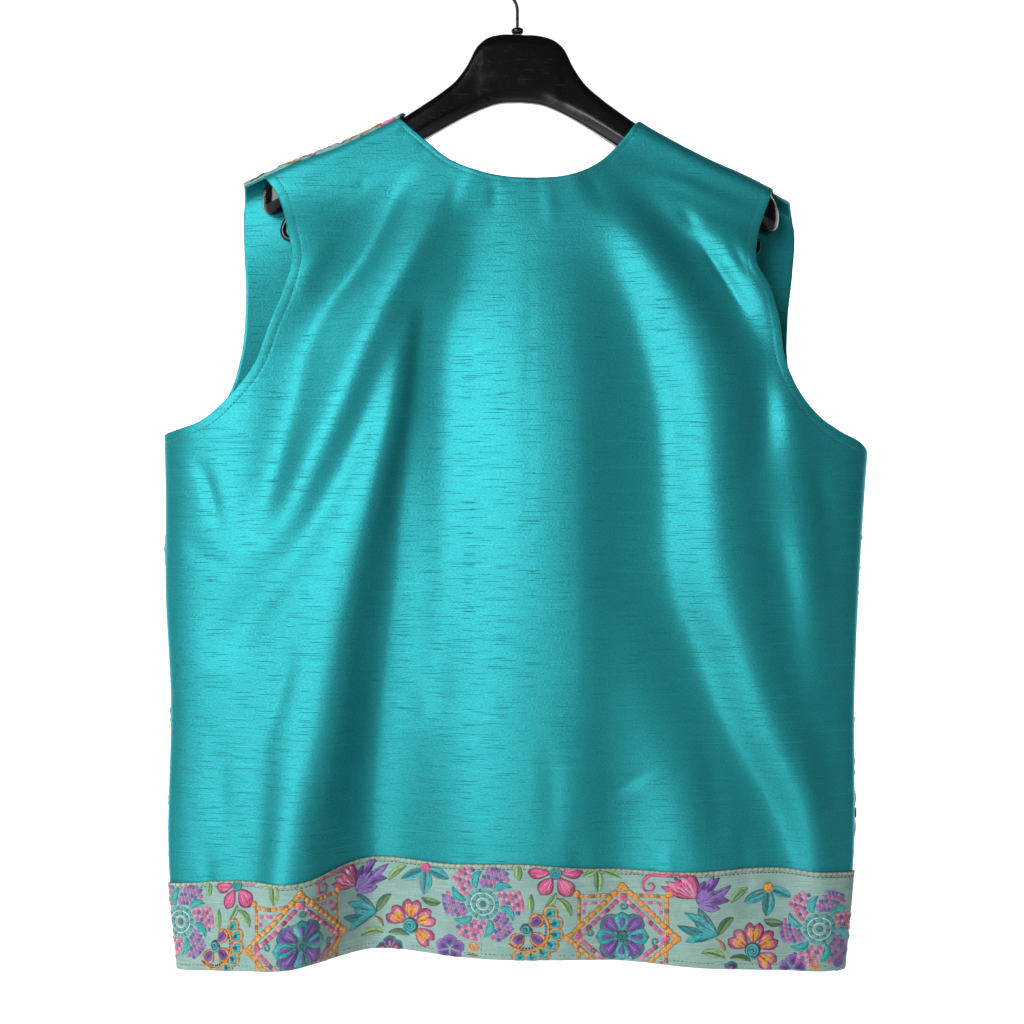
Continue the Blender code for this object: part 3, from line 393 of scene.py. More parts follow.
def linear(hex_colour):
    """sRGB hex colour as linear red, green and blue."""
    values = np.array([int(hex_colour[i:i + 2], 16) / 255.0 for i in (0, 2, 4)])
    return tuple(np.where(values <= 0.04045, values / 12.92,
                          ((values + 0.055) / 1.055) ** 2.4).tolist())


class WaistcoatFinish(bpy.types.PropertyGroup):
    """Sizes and colours of the waistcoat"""

    satin: FloatVectorProperty(
        name="Satin", description="Colour of the back and the lining", subtype="COLOR",
        default=linear("248c92"), min=0.0, max=1.0)
    ground: FloatVectorProperty(
        name="Embroidered ground", description="Cloth under the embroidery",
        subtype="COLOR", default=linear("7c9993"), min=0.0, max=1.0)
    neck_topstitch: FloatProperty(
        name="Neck topstitch", description="Distance of the stitches from the neck edge",
        default=4.4 * MM, unit="LENGTH")
    armhole_topstitch: FloatProperty(
        name="Armhole topstitch", description="Distance of the stitches from the armhole",
        default=6.9 * MM, unit="LENGTH")
    band_topstitch: FloatProperty(
        name="Band topstitch", description="Distance of the stitches below the band's top",
        default=3.2 * MM, unit="LENGTH")
    hem_topstitch: FloatProperty(
        name="Hem topstitch", description="Distance of the stitches above the hem",
        default=4.2 * MM, unit="LENGTH")
    stitch_length: FloatProperty(
        name="Stitch", description="Length of one topstitch", default=2.5 * MM,
        unit="LENGTH")


class HangerFinish(bpy.types.PropertyGroup):
    """Colours of the hanger"""

    plastic: FloatVectorProperty(
        name="Plastic", description="Colour of the moulded hanger", subtype="COLOR",
        default=linear("040608"), min=0.0, max=1.0)
    wire: FloatVectorProperty(
        name="Hook", description="Colour of the hook's lacquered wire", subtype="COLOR",
        default=linear("15171a"), min=0.0, max=1.0)


def smooth_curve(values, knots, at):
    """Smooth curve through values at rising knots, with the neighbours' mean slopes."""
    values = np.asarray(values, dtype=float)
    knots = np.asarray(knots, dtype=float)
    at = np.clip(at, knots[0], knots[-1])
    slopes = np.gradient(values, knots)
    left = np.clip(np.searchsorted(knots, at, side="right") - 1, 0, len(knots) - 2)
    span = knots[left + 1] - knots[left]
    f = (at - knots[left]) / span
    ease = f * f * (3.0 - 2.0 * f)
    lean_in = f * (1.0 - f) ** 2 * span * slopes[left]
    lean_out = f * f * (f - 1.0) * span * slopes[left + 1]
    return values[left] * (1.0 - ease) + values[left + 1] * ease + lean_in + lean_out


def smoothstep(value):
    """Ease from 0 to 1: 3 value squared less 2 value cubed."""
    value = np.clip(value, 0.0, 1.0)
    return value * value * (3.0 - 2.0 * value)


def arm_profile(x, column):
    """One column of the arm's table at x, with the hanger's tilt in its heights."""
    out = np.abs(np.asarray(x, dtype=float) - HEAD_X)
    value = smooth_curve([getattr(row, column) for row in ARM], [row.out for row in ARM], out)
    if column in ("top", "bottom"):
        value = value - (np.asarray(x, dtype=float) - HEAD_X) * HANGER_TILT
    return value


def fall_line(x):
    """Height at which cloth leaves the rounded top of the arm and hangs straight."""
    return arm_profile(x, "top") - ARM_ROLL


def fold_depth(folds, x, z):
    """Sum of soft ridges and troughs: a bell across each fold's line, uneven along it."""
    total = np.zeros_like(x)
    for rows in folds.values():
        xs, zs, lefts, rights, depths = np.array(rows[::-1], dtype=float).T
        inside = (z >= zs[0]) & (z <= zs[-1])
        line = smooth_curve(xs, zs, z)
        width = np.where(x < line, np.interp(z, zs, lefts), np.interp(z, zs, rights))
        depth = np.where(inside, smooth_curve(depths, zs, z), 0.0)
        total += depth * np.exp(-((x - line) / width) ** 2)
    return total


def half_width(x, z):
    """Distance from the middle to the side seam at height z, on the side where x lies."""
    left_x, left_z = np.array(SIDE_LEFT).T
    right_x, right_z = np.array(SIDE_RIGHT).T
    return np.where(x < 0.0, smooth_curve(-left_x, left_z, z),
                    smooth_curve(right_x, right_z, z))


def hang(x, v, toward_front):
    """Cloth's inner side at flat coordinates (x, v), on the back or the front.

    On the arm's rounded top it follows an ellipse round it. Below, it eases from the arm's
    face to the body's oval, and the folds and small creases add to that.
    """
    side = 1.0 if toward_front else -1.0
    folds = FRONT_FOLDS if toward_front else BACK_FOLDS
    creases = FRONT_CREASES if toward_front else BACK_CREASES
    knots = [row.z for row in FORM][::-1]
    middle = [(row.front if toward_front else row.back) for row in FORM][::-1]
    middle_depth = smooth_curve(middle, knots, v)
    across = np.clip(np.abs(x) / half_width(x, v), 0.0, 1.0)
    roundness = (1.0 - across ** SIDE_POWER) ** (1.0 / SIDE_ROUND)
    seam_side = SIDE_DEPTH + side * SEAM_GAP / 2.0
    oval = seam_side + (middle_depth - seam_side) * roundness
    reach = arm_profile(x, "half_depth") + ARM_SPACE
    bow = arm_profile(x, "bow")
    face = bow + side * reach
    below = fall_line(x) - v
    hanging = face + (oval - face) * smoothstep(below / DRAPE_LENGTH)
    fold_share = smoothstep((below - FOLD_START) / (FOLD_FULL - FOLD_START))
    edge_share = smoothstep((1.0 - across) * SEAM_EASE)
    hanging = hanging + side * fold_depth(folds, x, v) * fold_share * edge_share
    beside_arm = below < arm_profile(x, "top") - arm_profile(x, "bottom")
    clear = np.maximum(hanging, face) if toward_front else np.minimum(hanging, face)
    hanging = np.where(beside_arm & (np.abs(x - HEAD_X) < ARM_END), clear, hanging)
    crease = fold_depth(creases, x, v) * smoothstep(below / CREASE_START) * edge_share
    hanging = hanging + side * np.where(beside_arm, np.maximum(crease, -ARM_CREASE), crease)
    roll = ARM_ROLL + ARM_SPACE
    angle = QUARTER - np.clip(-below, 0.0, None) / roll
    y = np.where(below >= 0.0, hanging, bow + side * reach * np.sin(angle))
    rolled = arm_profile(x, "top") + ARM_SPACE - roll * (1.0 - np.cos(angle))
    z = np.where(below >= 0.0, v, rolled)
    return np.stack([x, y, z], axis=-1)


def laid(x, v, out, toward_front):
    """Points out mm off the cloth's inner side, along the surface's own normal."""
    step = NORMAL_STEP
    along_x = hang(x + step, v, toward_front) - hang(x - step, v, toward_front)
    along_v = hang(x, v + step, toward_front) - hang(x, v - step, toward_front)
    normal = np.cross(along_x, along_v) * (-1.0 if toward_front else 1.0)
    normal /= np.linalg.norm(normal, axis=-1, keepdims=True)
    return hang(x, v, toward_front) + normal * np.asarray(out)[..., None]


def lengths(path):
    """Length along a path of straight steps, at each of its points."""
    return np.concatenate([[0.0], np.cumsum(np.linalg.norm(np.diff(path, axis=0), axis=1))])


def along(points, fractions):
    """Smooth curve through 2D points, read at fractions of its length."""
    points = np.asarray(points, dtype=float)
    knots = lengths(points)
    at = np.asarray(fractions) * knots[-1]
    return np.stack([smooth_curve(points[:, 0], knots, at),
                     smooth_curve(points[:, 1], knots, at)], axis=-1)


def levels(start, end, steps, crowded=""):
    """Steps from start to end, drawn together at the start, the end or both."""
    f = np.linspace(0.0, 1.0, steps + 1)
    eased = {"": f, "start": 1.0 - np.cos(f * QUARTER), "end": np.sin(f * QUARTER),
             "both": (1.0 - np.cos(f * math.pi)) / 2.0}[crowded]
    return start + (end - start) * (f * (1.0 - EDGE_CROWDING) + eased * EDGE_CROWDING)


def seam_length(toward_front, left_side):
    """Length of cloth above the fall line, up to the shoulder seam."""
    angle = SEAM_ANGLE_LEFT if left_side else SEAM_ANGLE_RIGHT
    turned = QUARTER + angle if toward_front else QUARTER - angle
    return turned * (ARM_ROLL + ARM_SPACE) - SEAM_GAP / 2.0


def shoulder(x_from, x_to, toward_front, fractions):
    """Shoulder seam in flat coordinates: the fall line moved up by its length."""
    x = x_from + (x_to - x_from) * np.asarray(fractions)
    rise = seam_length(toward_front, x_from + x_to < 0.0)
    return np.stack([x, fall_line(x) + rise], axis=-1)


def patch(bottom, top, left, right, s, t):
    """Blend four edge curves: opposite edges are mixed and the corners taken off."""
    s = s[None, :, None]
    t = t[:, None, None]
    bottom, top = bottom[None], top[None]
    left, right = left[:, None], right[:, None]
    corners = ((1 - s) * (1 - t) * bottom[:, :1] + s * (1 - t) * bottom[:, -1:]
               + (1 - s) * t * top[:, :1] + s * t * top[:, -1:])
    return (1 - t) * bottom + t * top + (1 - s) * left + s * right - corners


def edge_up(side_points, armhole_points, tip, roll, band_height, rows):
    """Side seam and armhole as one edge, from the hem to the shoulder's tip."""
    band = band_height / (side_points[-1][1] - side_points[0][1])
    side_rows = np.concatenate([levels(0.0, band, rows["band"]),
                                levels(band, 1.0, rows["side"])[1:]])
    upper = np.asarray(armhole_points + [tip], dtype=float)
    roll_share = roll / lengths(upper)[-1]
    roll_rows = math.ceil(roll / rows["roll_step"])
    hole_rows = np.concatenate([levels(0.0, 1.0 - roll_share, rows["hole"]),
                                levels(1.0 - roll_share, 1.0, roll_rows)[1:]])
    return np.concatenate([along(side_points, side_rows), along(upper, hole_rows)[1:]])


def grid_rows(edge):
    """Blend weights from hem to top: the share of the edge's length at each row."""
    length = lengths(edge)
    return length / length[-1]


def tip_point(x, toward_front):
    """Shoulder tip in flat coordinates."""
    return tuple(shoulder(x, x, toward_front, [0.0])[0])


def back_flat():
    """Flat grid of the back, hem row first, left column first."""
    rows = CLOTH_ROWS
    starts = [0.0] + [stretch[0] for stretch in BACK_COLUMNS[:-1]]
    s = [levels(start, *stretch) for start, stretch in zip(starts, BACK_COLUMNS)]
    first, middle, last = ((part - start) / (part[-1] - start)
                           for part, start in zip(s, starts))
    roll = max(seam_length(False, True), seam_length(False, False))
    tip_left, tip_right = BACK_TIPS
    left = edge_up(SIDE_LEFT, BACK_ARMHOLE_LEFT, tip_point(tip_left, False), roll,
                   BAND_HEIGHT_LEFT, rows)
    right = edge_up(SIDE_RIGHT, BACK_ARMHOLE_RIGHT, tip_point(tip_right, False), roll,
                    BAND_HEIGHT_RIGHT, rows)
    top_left = shoulder(tip_left, NECK_ENDS[0], False, first)
    top_right = shoulder(NECK_ENDS[1], tip_right, False, last)
    neck = along([top_left[-1]] + NECKLINE + [top_right[0]], middle)
    top = np.concatenate([top_left, neck[1:], top_right[1:]])
    s = np.concatenate([s[0], s[1][1:], s[2][1:]])
    split = rows["band"]
    band_top = along([left[split]] + BAND_TOP + [right[split]], s)
    parts = []
    for bottom, upper, part in ((along(HEM, s), band_top, slice(0, split + 1)),
                                (band_top, top, slice(split, None))):
        weights = grid_rows((left[part] + right[part]) / 2.0)
        parts.append(patch(bottom, upper, left[part], right[part], s, weights))
    return np.concatenate([parts[0], parts[1][1:]])


def front_flat(side, columns, rows):
    """Flat grid of one front, from its side edge to its centre edge."""
    is_left = side < 0
    s = levels(0.0, 1.0, columns, "start")
    seam = SIDE_LEFT if is_left else SIDE_RIGHT
    hole = FRONT_ARMHOLE_LEFT if is_left else FRONT_ARMHOLE_RIGHT
    tip_x, neck_x = (pair[0 if is_left else 1] for pair in (FRONT_TIPS, NECK_ENDS))
    outer = edge_up(seam, hole, tip_point(tip_x, True), seam_length(True, is_left),
                    BAND_HEIGHT_LEFT if is_left else BAND_HEIGHT_RIGHT, rows)
    hem_corner = (side * FRONT_EDGE_HEM, FRONT_HEM)
    v_bottom = (side * FRONT_EDGE_TOP, NECK_V_BOTTOM)
    neck_point = tip_point(neck_x, True)
    t = grid_rows(outer)
    split = (NECK_V_BOTTOM - FRONT_HEM) / (neck_point[1] - FRONT_HEM)
    lower = t < split
    straight = along([hem_corner, v_bottom], t[lower] / split)
    bowed = [v_bottom, ((v_bottom[0] + neck_x) / 2.0 - side * NECK_V_BOW,
                        (v_bottom[1] + neck_point[1]) / 2.0), neck_point]
    slanted = along(bowed, (t[~lower] - split) / (1.0 - split))
    centre = np.concatenate([straight, slanted])
    hem_curve = [tuple(seam[0]), (side * FRONT_HEM_TURN, FRONT_HEM), hem_corner]
    return patch(along(hem_curve, s), shoulder(tip_x, neck_x, True, s), outer, centre, s, t)


def border(grid):
    """Grid's outline as one ring of points, anticlockwise from the first corner."""
    return np.concatenate([grid[0], grid[1:, -1], grid[-1, -2::-1], grid[-2:0:-1, 0]])


def even(path, step):
    """Path of straight steps, read again at equal steps of about the given length."""
    path = np.asarray(path, dtype=float)
    length = lengths(path)
    at = np.linspace(0.0, length[-1], max(2, int(round(length[-1] / step)) + 1))
    return np.stack([np.interp(at, length, column) for column in path.T], axis=-1)


def beside(path, distance):
    """Path moved to its left by the distance."""
    slope = np.gradient(path, axis=0)
    slope /= np.linalg.norm(slope, axis=1, keepdims=True)
    return path + np.stack([-slope[:, 1], slope[:, 0]], axis=-1) * distance


def edge_relief(x, v, edges):
    """Finished edge of a cloth: a raised strip, a stitched groove and small puckers.

    For each edge, with d the distance from it, a the place along it and s the distance of
    its stitches: a half sine of d over s, less a narrow bell at s, plus a sum of two waves
    of a that dies away on both sides of the stitches.
    """
    total = np.zeros_like(x)
    flat = np.stack([x.ravel(), v.ravel()], axis=-1)
    for path, stitch, raised, pucker in edges:
        path = even(path, EDGE_STEP)
        nearest = np.full(len(flat), 1e9)
        place = np.zeros(len(flat))
        for start in range(0, len(flat), POINTS_AT_ONCE):
            chosen = slice(start, start + POINTS_AT_ONCE)
            part = flat[chosen]
            gap = np.hypot(part[:, None, 0] - path[None, :, 0],
                           part[:, None, 1] - path[None, :, 1])
            nearest[chosen] = gap.min(axis=1)
            place[chosen] = gap.argmin(axis=1) * EDGE_STEP
        strip = np.sin(np.clip(nearest / stitch, 0.0, 1.0) * math.pi) * raised
        groove = GROOVE_DEPTH * np.exp(-((nearest - stitch) / GROOVE_WIDTH) ** 2)
        wave = np.sin(place / 1.9) * 0.6 + np.sin(place / 3.1 + 1.3)
        ripple = pucker * wave * np.exp(-((nearest - stitch) / PUCKER_REACH) ** 2)
        total += (strip - groove + ripple).reshape(x.shape)
    return total


def ride(obj, slot_name, *nodes):
    """Put a finished piece on the body and hide the nodes it stands for; slot_name is not used.
    """
    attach(obj, BODY)
    if nodes:
        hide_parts(*nodes)
    return obj


def new_piece(name, points, faces, material, layers=()):
    """Smooth mesh piece from points in mm. layers are (UV name, uv of every point)."""
    mesh = bpy.data.meshes.new(name)
    mesh.from_pydata((np.asarray(points) * MM).tolist(), [], np.asarray(faces).tolist())
    corners = np.zeros(len(mesh.loops), dtype=np.int32)
    mesh.loops.foreach_get("vertex_index", corners)
    for layer_name, values in layers:
        layer = mesh.uv_layers.new(name=layer_name)
        layer.data.foreach_set("uv", np.asarray(values, dtype=np.float32)[corners].ravel())
    mesh.materials.append(material)
    mesh.shade_smooth()
    obj = bpy.data.objects.new(name, mesh)
    bpy.context.scene.collection.objects.link(obj)
    return obj


def grid_quads(rows, columns):
    """Quads of a grid of points, in row order."""
    corner = np.arange(rows * columns).reshape(rows, columns)
    return np.stack([corner[:-1, :-1], corner[:-1, 1:], corner[1:, 1:], corner[1:, :-1]],
                    axis=-1).reshape(-1, 4)


def cloth_shell(name, flat, inner, outer, material, turned=False):
    """Closed cloth wall from two grids, with a rounded edge, turned for a mirrored grid.

    The edge's middle stands out from the border by a third of the wall, away from the
    grid. The UV map Flat holds the flat coordinates in metres.
    """
    rows, columns = inner.shape[:2]
    count = rows * columns
    ids = np.arange(count).reshape(rows, columns)
    ring = border(ids[..., None])[:, 0]
    inward = border(np.clip(ids // columns, 1, rows - 2)[..., None] * columns
                    + np.clip(ids % columns, 1, columns - 2)[..., None])[:, 0]
    inner_points, outer_points = inner.reshape(-1, 3), outer.reshape(-1, 3)
    middle = (inner_points[ring] + outer_points[ring]) / 2.0
    wall = np.linalg.norm(outer_points[ring] - inner_points[ring], axis=1, keepdims=True)
    away = middle - (inner_points[inward] + outer_points[inward]) / 2.0
    away /= np.linalg.norm(away, axis=1, keepdims=True)
    middle = middle + away * wall * 0.33
    points = np.concatenate([inner_points, outer_points, middle])
    quads = grid_quads(rows, columns)
    edge = np.arange(len(ring)) + 2 * count
    following = np.roll(edge, -1)
    next_ring = np.roll(ring, -1)
    rim_in = np.stack([ring, next_ring, following, edge], axis=-1)
    rim_out = np.stack([edge, following, next_ring + count, ring + count], axis=-1)
    faces = np.concatenate([quads[:, ::-1], quads + count, rim_in, rim_out])
    if turned:
        faces = faces[:, ::-1]
    uv = flat.reshape(-1, 2) * MM
    return new_piece(name, points, faces, material,
                     [("Flat", np.concatenate([uv, uv, uv[ring]]))])


def add_node(tree, kind, inputs=None, **settings):
    """Add a node with its settings; inputs are values to set or sockets to link."""
    node = tree.nodes.new(kind)
    for name, value in settings.items():
        setattr(node, name, value)
    for key, value in (inputs or {}).items():
        if isinstance(value, bpy.types.NodeSocket):
            tree.links.new(value, node.inputs[key])
        else:
            node.inputs[key].default_value = value
    return node


def new_material(name, **constants):
    """Principled material with constants set on its own sockets, and its node tree."""
    material = bpy.data.materials.new(name)
    material.use_nodes = True
    tree = material.node_tree
    shader = tree.nodes["Principled BSDF"]
    for socket, value in constants.items():
        shader.inputs[socket.replace("_", " ")].default_value = value
    return material, tree, shader


def stretched_noise(tree, vector, across, up, detail=2.0, distortion=0.0):
    """Noise whose grains are across by up mm in flat coordinates that are in mm."""
    scaled = add_node(tree, "ShaderNodeVectorMath",
                      {0: vector, 1: (1.0 / across, 1.0 / up, 1.0)}, operation="MULTIPLY")
    return add_node(tree, "ShaderNodeTexNoise",
                    {"Vector": scaled.outputs[0], "Scale": 1.0, "Detail": detail,
                     "Distortion": distortion}).outputs["Fac"]


def band_of(tree, value, low, high):
    """Smooth step of a value from low to high."""
    return add_node(tree, "ShaderNodeMapRange",
                    {"Value": value, "From Min": low, "From Max": high},
                    interpolation_type="SMOOTHSTEP").outputs["Result"]


def mixed(tree, factor, first, second, blend="MIX"):
    """Mix of two colours."""
    node = add_node(tree, "ShaderNodeMix", data_type="RGBA", blend_type=blend)
    for key, value in ((0, factor), (6, first), (7, second)):
        if isinstance(value, bpy.types.NodeSocket):
            tree.links.new(value, node.inputs[key])
        else:
            node.inputs[key].default_value = value
    return node.outputs[2]


def scaled_colour(colour, factor, alpha=1.0):
    """Colour times a factor, with alpha."""
    return (*(min(1.0, channel * factor) for channel in colour), alpha)


def dupion_satin(colour):
    """Polyester dupion satin, woven: long floats give a broad soft shine, and thick weft
    threads (slubs, 10 to 40 mm long, under 1 mm high) draw fine lines across it."""
    material, tree, shader = new_material(
        "polyester dupion satin", Roughness=0.47, Metallic=0.5, Specular_IOR_Level=0.3,
        Specular_Tint=(0.35, 0.92, 1.0, 1.0), Anisotropic=0.5, Anisotropic_Rotation=0.25)
    flat = add_node(tree, "ShaderNodeUVMap", uv_map="Flat").outputs["UV"]
    mm = add_node(tree, "ShaderNodeVectorMath", {0: flat, 3: 1000.0},
                  operation="SCALE").outputs[0]
    slub = band_of(tree, stretched_noise(tree, mm, 26.0, 0.7, 0.0), 0.7, 0.8)
    long_slub = band_of(tree, stretched_noise(tree, mm, 60.0, 0.8, 0.0), 0.7, 0.82)
    grain = stretched_noise(tree, mm, 1.7, 1.1, 2.0)
    cloudy = stretched_noise(tree, mm, 60.0, 22.0, 3.0)
    base = mixed(tree, cloudy, scaled_colour(colour, 0.9), scaled_colour(colour, 1.08))
    grained = mixed(tree, band_of(tree, grain, 0.3, 0.7), scaled_colour(colour, 0.74),
                    base)
    lined = mixed(tree, slub, grained, scaled_colour(colour, 0.66))
    lined = mixed(tree, long_slub, lined, scaled_colour(colour, 1.16))
    tree.links.new(lined, shader.inputs["Base Color"])
    height = add_node(tree, "ShaderNodeMath", {0: grain, 1: slub}, operation="ADD")
    bump = add_node(tree, "ShaderNodeBump",
                    {"Height": height.outputs[0], "Strength": 0.6, "Distance": 0.0004})
    tree.links.new(bump.outputs["Normal"], shader.inputs["Normal"])
    tangent = add_node(tree, "ShaderNodeTangent", direction_type="UV_MAP", uv_map="Flat")
    tree.links.new(tangent.outputs[0], shader.inputs["Tangent"])
    return material


def linen_ground(colour):
    """Linen-look ground cloth, plain weave: dull, with a fine crosshatch of threads and
    thicker ones here and there."""
    material, tree, shader = new_material(
        "linen weave ground", Roughness=0.82, Specular_IOR_Level=0.25, Sheen_Weight=0.15)
    flat = add_node(tree, "ShaderNodeUVMap", uv_map="Flat").outputs["UV"]
    mm = add_node(tree, "ShaderNodeVectorMath", {0: flat, 3: 1000.0},
                  operation="SCALE").outputs[0]
    weft = stretched_noise(tree, mm, 22.0, 0.9, 2.0)
    warp = stretched_noise(tree, mm, 0.7, 9.0, 1.0)
    threads = add_node(tree, "ShaderNodeMath", {0: warp, 1: 0.45, 2: weft},
                       operation="MULTIPLY_ADD")
    hatch = band_of(tree, threads.outputs[0], 0.55, 0.85)
    stain = stretched_noise(tree, mm, 30.0, 18.0, 2.0)
    base = mixed(tree, hatch, scaled_colour(colour, 0.84), scaled_colour(colour, 1.08))
    base = mixed(tree, band_of(tree, stain, 0.45, 0.75), base, scaled_colour(colour, 0.84))
    tree.links.new(base, shader.inputs["Base Color"])
    bump = add_node(tree, "ShaderNodeBump",
                    {"Height": hatch, "Strength": 0.6, "Distance": 0.00025})
    tree.links.new(bump.outputs["Normal"], shader.inputs["Normal"])
    return material


def embroidery_thread():
    """Rayon embroidery thread in satin stitch: glossy along the stitches, which show as
    fine ribs. Real threads are 0.35 mm apart; the ribs are 0.9 mm, so that they show."""
    material, tree, shader = new_material(
        "rayon embroidery thread", Roughness=0.34, Specular_IOR_Level=0.7,
        Sheen_Weight=0.1)
    colour = add_node(tree, "ShaderNodeAttribute", attribute_name="Thread colour and painted rim shade")
    stitch = add_node(tree, "ShaderNodeUVMap", uv_map="Stitch").outputs["UV"]
    mm = add_node(tree, "ShaderNodeVectorMath", {0: stitch, 3: 1000.0},
                  operation="SCALE").outputs[0]
    rib = add_node(tree, "ShaderNodeTexWave",
                   {"Vector": mm, "Scale": 0.55, "Distortion": 0.8, "Detail": 1.0,
                    "Detail Scale": 1.0},
                   wave_type="BANDS", bands_direction="X")
    # Painted shade and highlight in the base colour: the strand noise darkens some strands and
    # lightens others past their thread colour, the gather noise paints dark lines of shade along
    # the pads, and the rib wave paints shade into the grooves between ribs and a slight highlight
    # on them
    strand = stretched_noise(tree, mm, 0.5, 3.5, 2.0)
    gather_shade = stretched_noise(tree, mm, 6.0, 0.8, 1.0)
    shade = mixed(tree, band_of(tree, strand, 0.3, 0.75), (0.6, 0.6, 0.6, 1.0),
                  (1.2, 1.2, 1.2, 1.0))
    shade = mixed(tree, band_of(tree, gather_shade, 0.38, 0.52), (0.36, 0.36, 0.36, 1.0), shade)
    rib_shade = mixed(tree, rib.outputs["Fac"], (0.7, 0.7, 0.7, 1.0), (1.08, 1.08, 1.08, 1.0))
    tinted = mixed(tree, 1.0, colour.outputs["Color"], shade, "MULTIPLY")
    tinted = mixed(tree, 1.0, tinted, rib_shade, "MULTIPLY")
    tree.links.new(tinted, shader.inputs["Base Color"])
    height = add_node(tree, "ShaderNodeMath", {0: rib.outputs["Fac"], 1: strand},
                      operation="ADD")
    bump = add_node(tree, "ShaderNodeBump",
                    {"Height": height.outputs[0], "Strength": 0.7, "Distance": 0.00025})
    tree.links.new(bump.outputs["Normal"], shader.inputs["Normal"])
    return material


def moulded_plastic(colour):
    """Black ABS, injection moulded: deep gloss with fine handling scuffs that dull it in
    patches and a faint orange-peel ripple."""
    material, tree, shader = new_material(
        "moulded ABS", Roughness=0.2, Specular_IOR_Level=0.28, IOR=1.54)
    place = add_node(tree, "ShaderNodeTexCoord").outputs["Object"]
    mm = add_node(tree, "ShaderNodeVectorMath", {0: place, 3: 1000.0},
                  operation="SCALE").outputs[0]
    patches = add_node(tree, "ShaderNodeTexNoise",
                       {"Vector": mm, "Scale": 0.05, "Detail": 4.0}).outputs["Fac"]
    scratch = add_node(tree, "ShaderNodeVectorMath", {0: mm, 1: (0.05, 1.0, 0.8)},
                       operation="MULTIPLY").outputs[0]
    scratches = add_node(tree, "ShaderNodeTexNoise",
                         {"Vector": scratch, "Scale": 1.0, "Detail": 3.0,
                          "Distortion": 1.5}).outputs["Fac"]
    scuffed = band_of(tree, scratches, 0.6, 0.75)
    worn = add_node(tree, "ShaderNodeMath",
                    {0: band_of(tree, patches, 0.5, 0.75), 1: 0.08}, operation="MULTIPLY")
    rough = add_node(tree, "ShaderNodeMath", {0: scuffed, 1: 0.14, 2: worn.outputs[0]},
                     operation="MULTIPLY_ADD")
    total = add_node(tree, "ShaderNodeMath", {0: rough.outputs[0], 1: 0.17},
                     operation="ADD")
    tree.links.new(total.outputs[0], shader.inputs["Roughness"])
    shade = mixed(tree, scuffed, scaled_colour(colour, 1.0), scaled_colour(colour, 1.7))
    tree.links.new(shade, shader.inputs["Base Color"])
    peel = add_node(tree, "ShaderNodeTexNoise",
                    {"Vector": mm, "Scale": 0.35, "Detail": 1.0}).outputs["Fac"]
    bump = add_node(tree, "ShaderNodeBump",
                    {"Height": peel, "Strength": 0.12, "Distance": 0.0005})
    tree.links.new(bump.outputs["Normal"], shader.inputs["Normal"])
    return material


def lacquered_wire(colour):
    """Steel wire with thin black lacquer, drawn: dark, with sharp lengthwise glints."""
    material, tree, shader = new_material(
        "lacquered steel wire", Roughness=0.28, Metallic=0.7)
    place = add_node(tree, "ShaderNodeTexCoord").outputs["Object"]
    wear = add_node(tree, "ShaderNodeTexNoise",
                    {"Vector": place, "Scale": 260.0, "Detail": 3.0}).outputs["Fac"]
    worn = band_of(tree, wear, 0.6, 0.72)
    shade = mixed(tree, worn, scaled_colour(colour, 1.0), scaled_colour(colour, 6.0))
    tree.links.new(shade, shader.inputs["Base Color"])
    return material


# Materials made so far, by the function that makes them
MATERIALS = {}


def material_for(maker, *args):
    """The maker's material, made once and then used again."""
    if maker not in MATERIALS:
        MATERIALS[maker] = maker(*args)
    return MATERIALS[maker]


# A pad of satin stitches: points (n, m, 3) as (along, up, height) in mm, its thread, and
# the (across the threads, along the threads) of each point in mm
Pad = namedtuple("Pad", "points thread stitch")


def pad(path, half_width_mm, height, thread, across=5, slant=0.0):
    """Domed strip along a path.

    A point is the path plus its left normal times the half width times t, from -1 to 1.
    Its height is the root of (1 - t to the fourth), times a quick rise from both ends.
    """
    path = np.asarray(path, dtype=float)
    width = np.broadcast_to(np.asarray(half_width_mm, dtype=float), len(path))
    slope = np.gradient(path, axis=0)
    slope /= np.maximum(np.linalg.norm(slope, axis=1, keepdims=True), 1e-9)
    normal = np.stack([-slope[:, 1], slope[:, 0]], axis=-1)
    t = np.sin(np.linspace(-QUARTER, QUARTER, across))
    # Four columns put the inner pair at 0.68, which also widens the rim of painted shade that
    # sewn_piece gives the outer columns
    if across == 4:
        t = np.array([-1.0, -0.68, 0.68, 1.0])
    length = lengths(path)
    from_end = np.minimum(length, length[-1] - length)
    rise = np.sqrt(np.clip(from_end / max(height, 0.8), 0.0, 1.0))
    flat = path[:, None] + normal[:, None] * (width[:, None] * t)[..., None]
    lift = height * rise[:, None] * (1.0 - t ** 4) ** 0.5 - 0.12
    points = np.concatenate([flat, lift[..., None]], axis=-1)
    stitch = np.stack([length[:, None] + slant * width[:, None] * t,
                       width[:, None] * t], axis=-1)
    return Pad(points, thread, stitch)


def bowed(start, end, bow, steps):
    """Path from start to end that bows to its left by a share of its length."""
    start, end = np.asarray(start, dtype=float), np.asarray(end, dtype=float)
    f = np.linspace(0.0, 1.0, steps)[:, None]
    run = end - start
    return start + run * f + np.array([-run[1], run[0]]) * bow * 4.0 * f * (1.0 - f)


def petal(start, end, width, thread, height=0.85, bow=0.0, fullest=0.6, steps=7, across=5):
    """Petal: a pad whose half width rises and falls as a sine, fullest past the middle."""
    f = np.linspace(0.0, 1.0, steps)
    bent = f ** (math.log(0.5) / math.log(fullest))
    half = width / 2.0 * np.sin(np.clip(bent, 0.0, 1.0) * math.pi) ** 0.75
    return pad(bowed(start, end, bow, steps), np.maximum(half, 0.12), height, thread,
               across, 0.6)


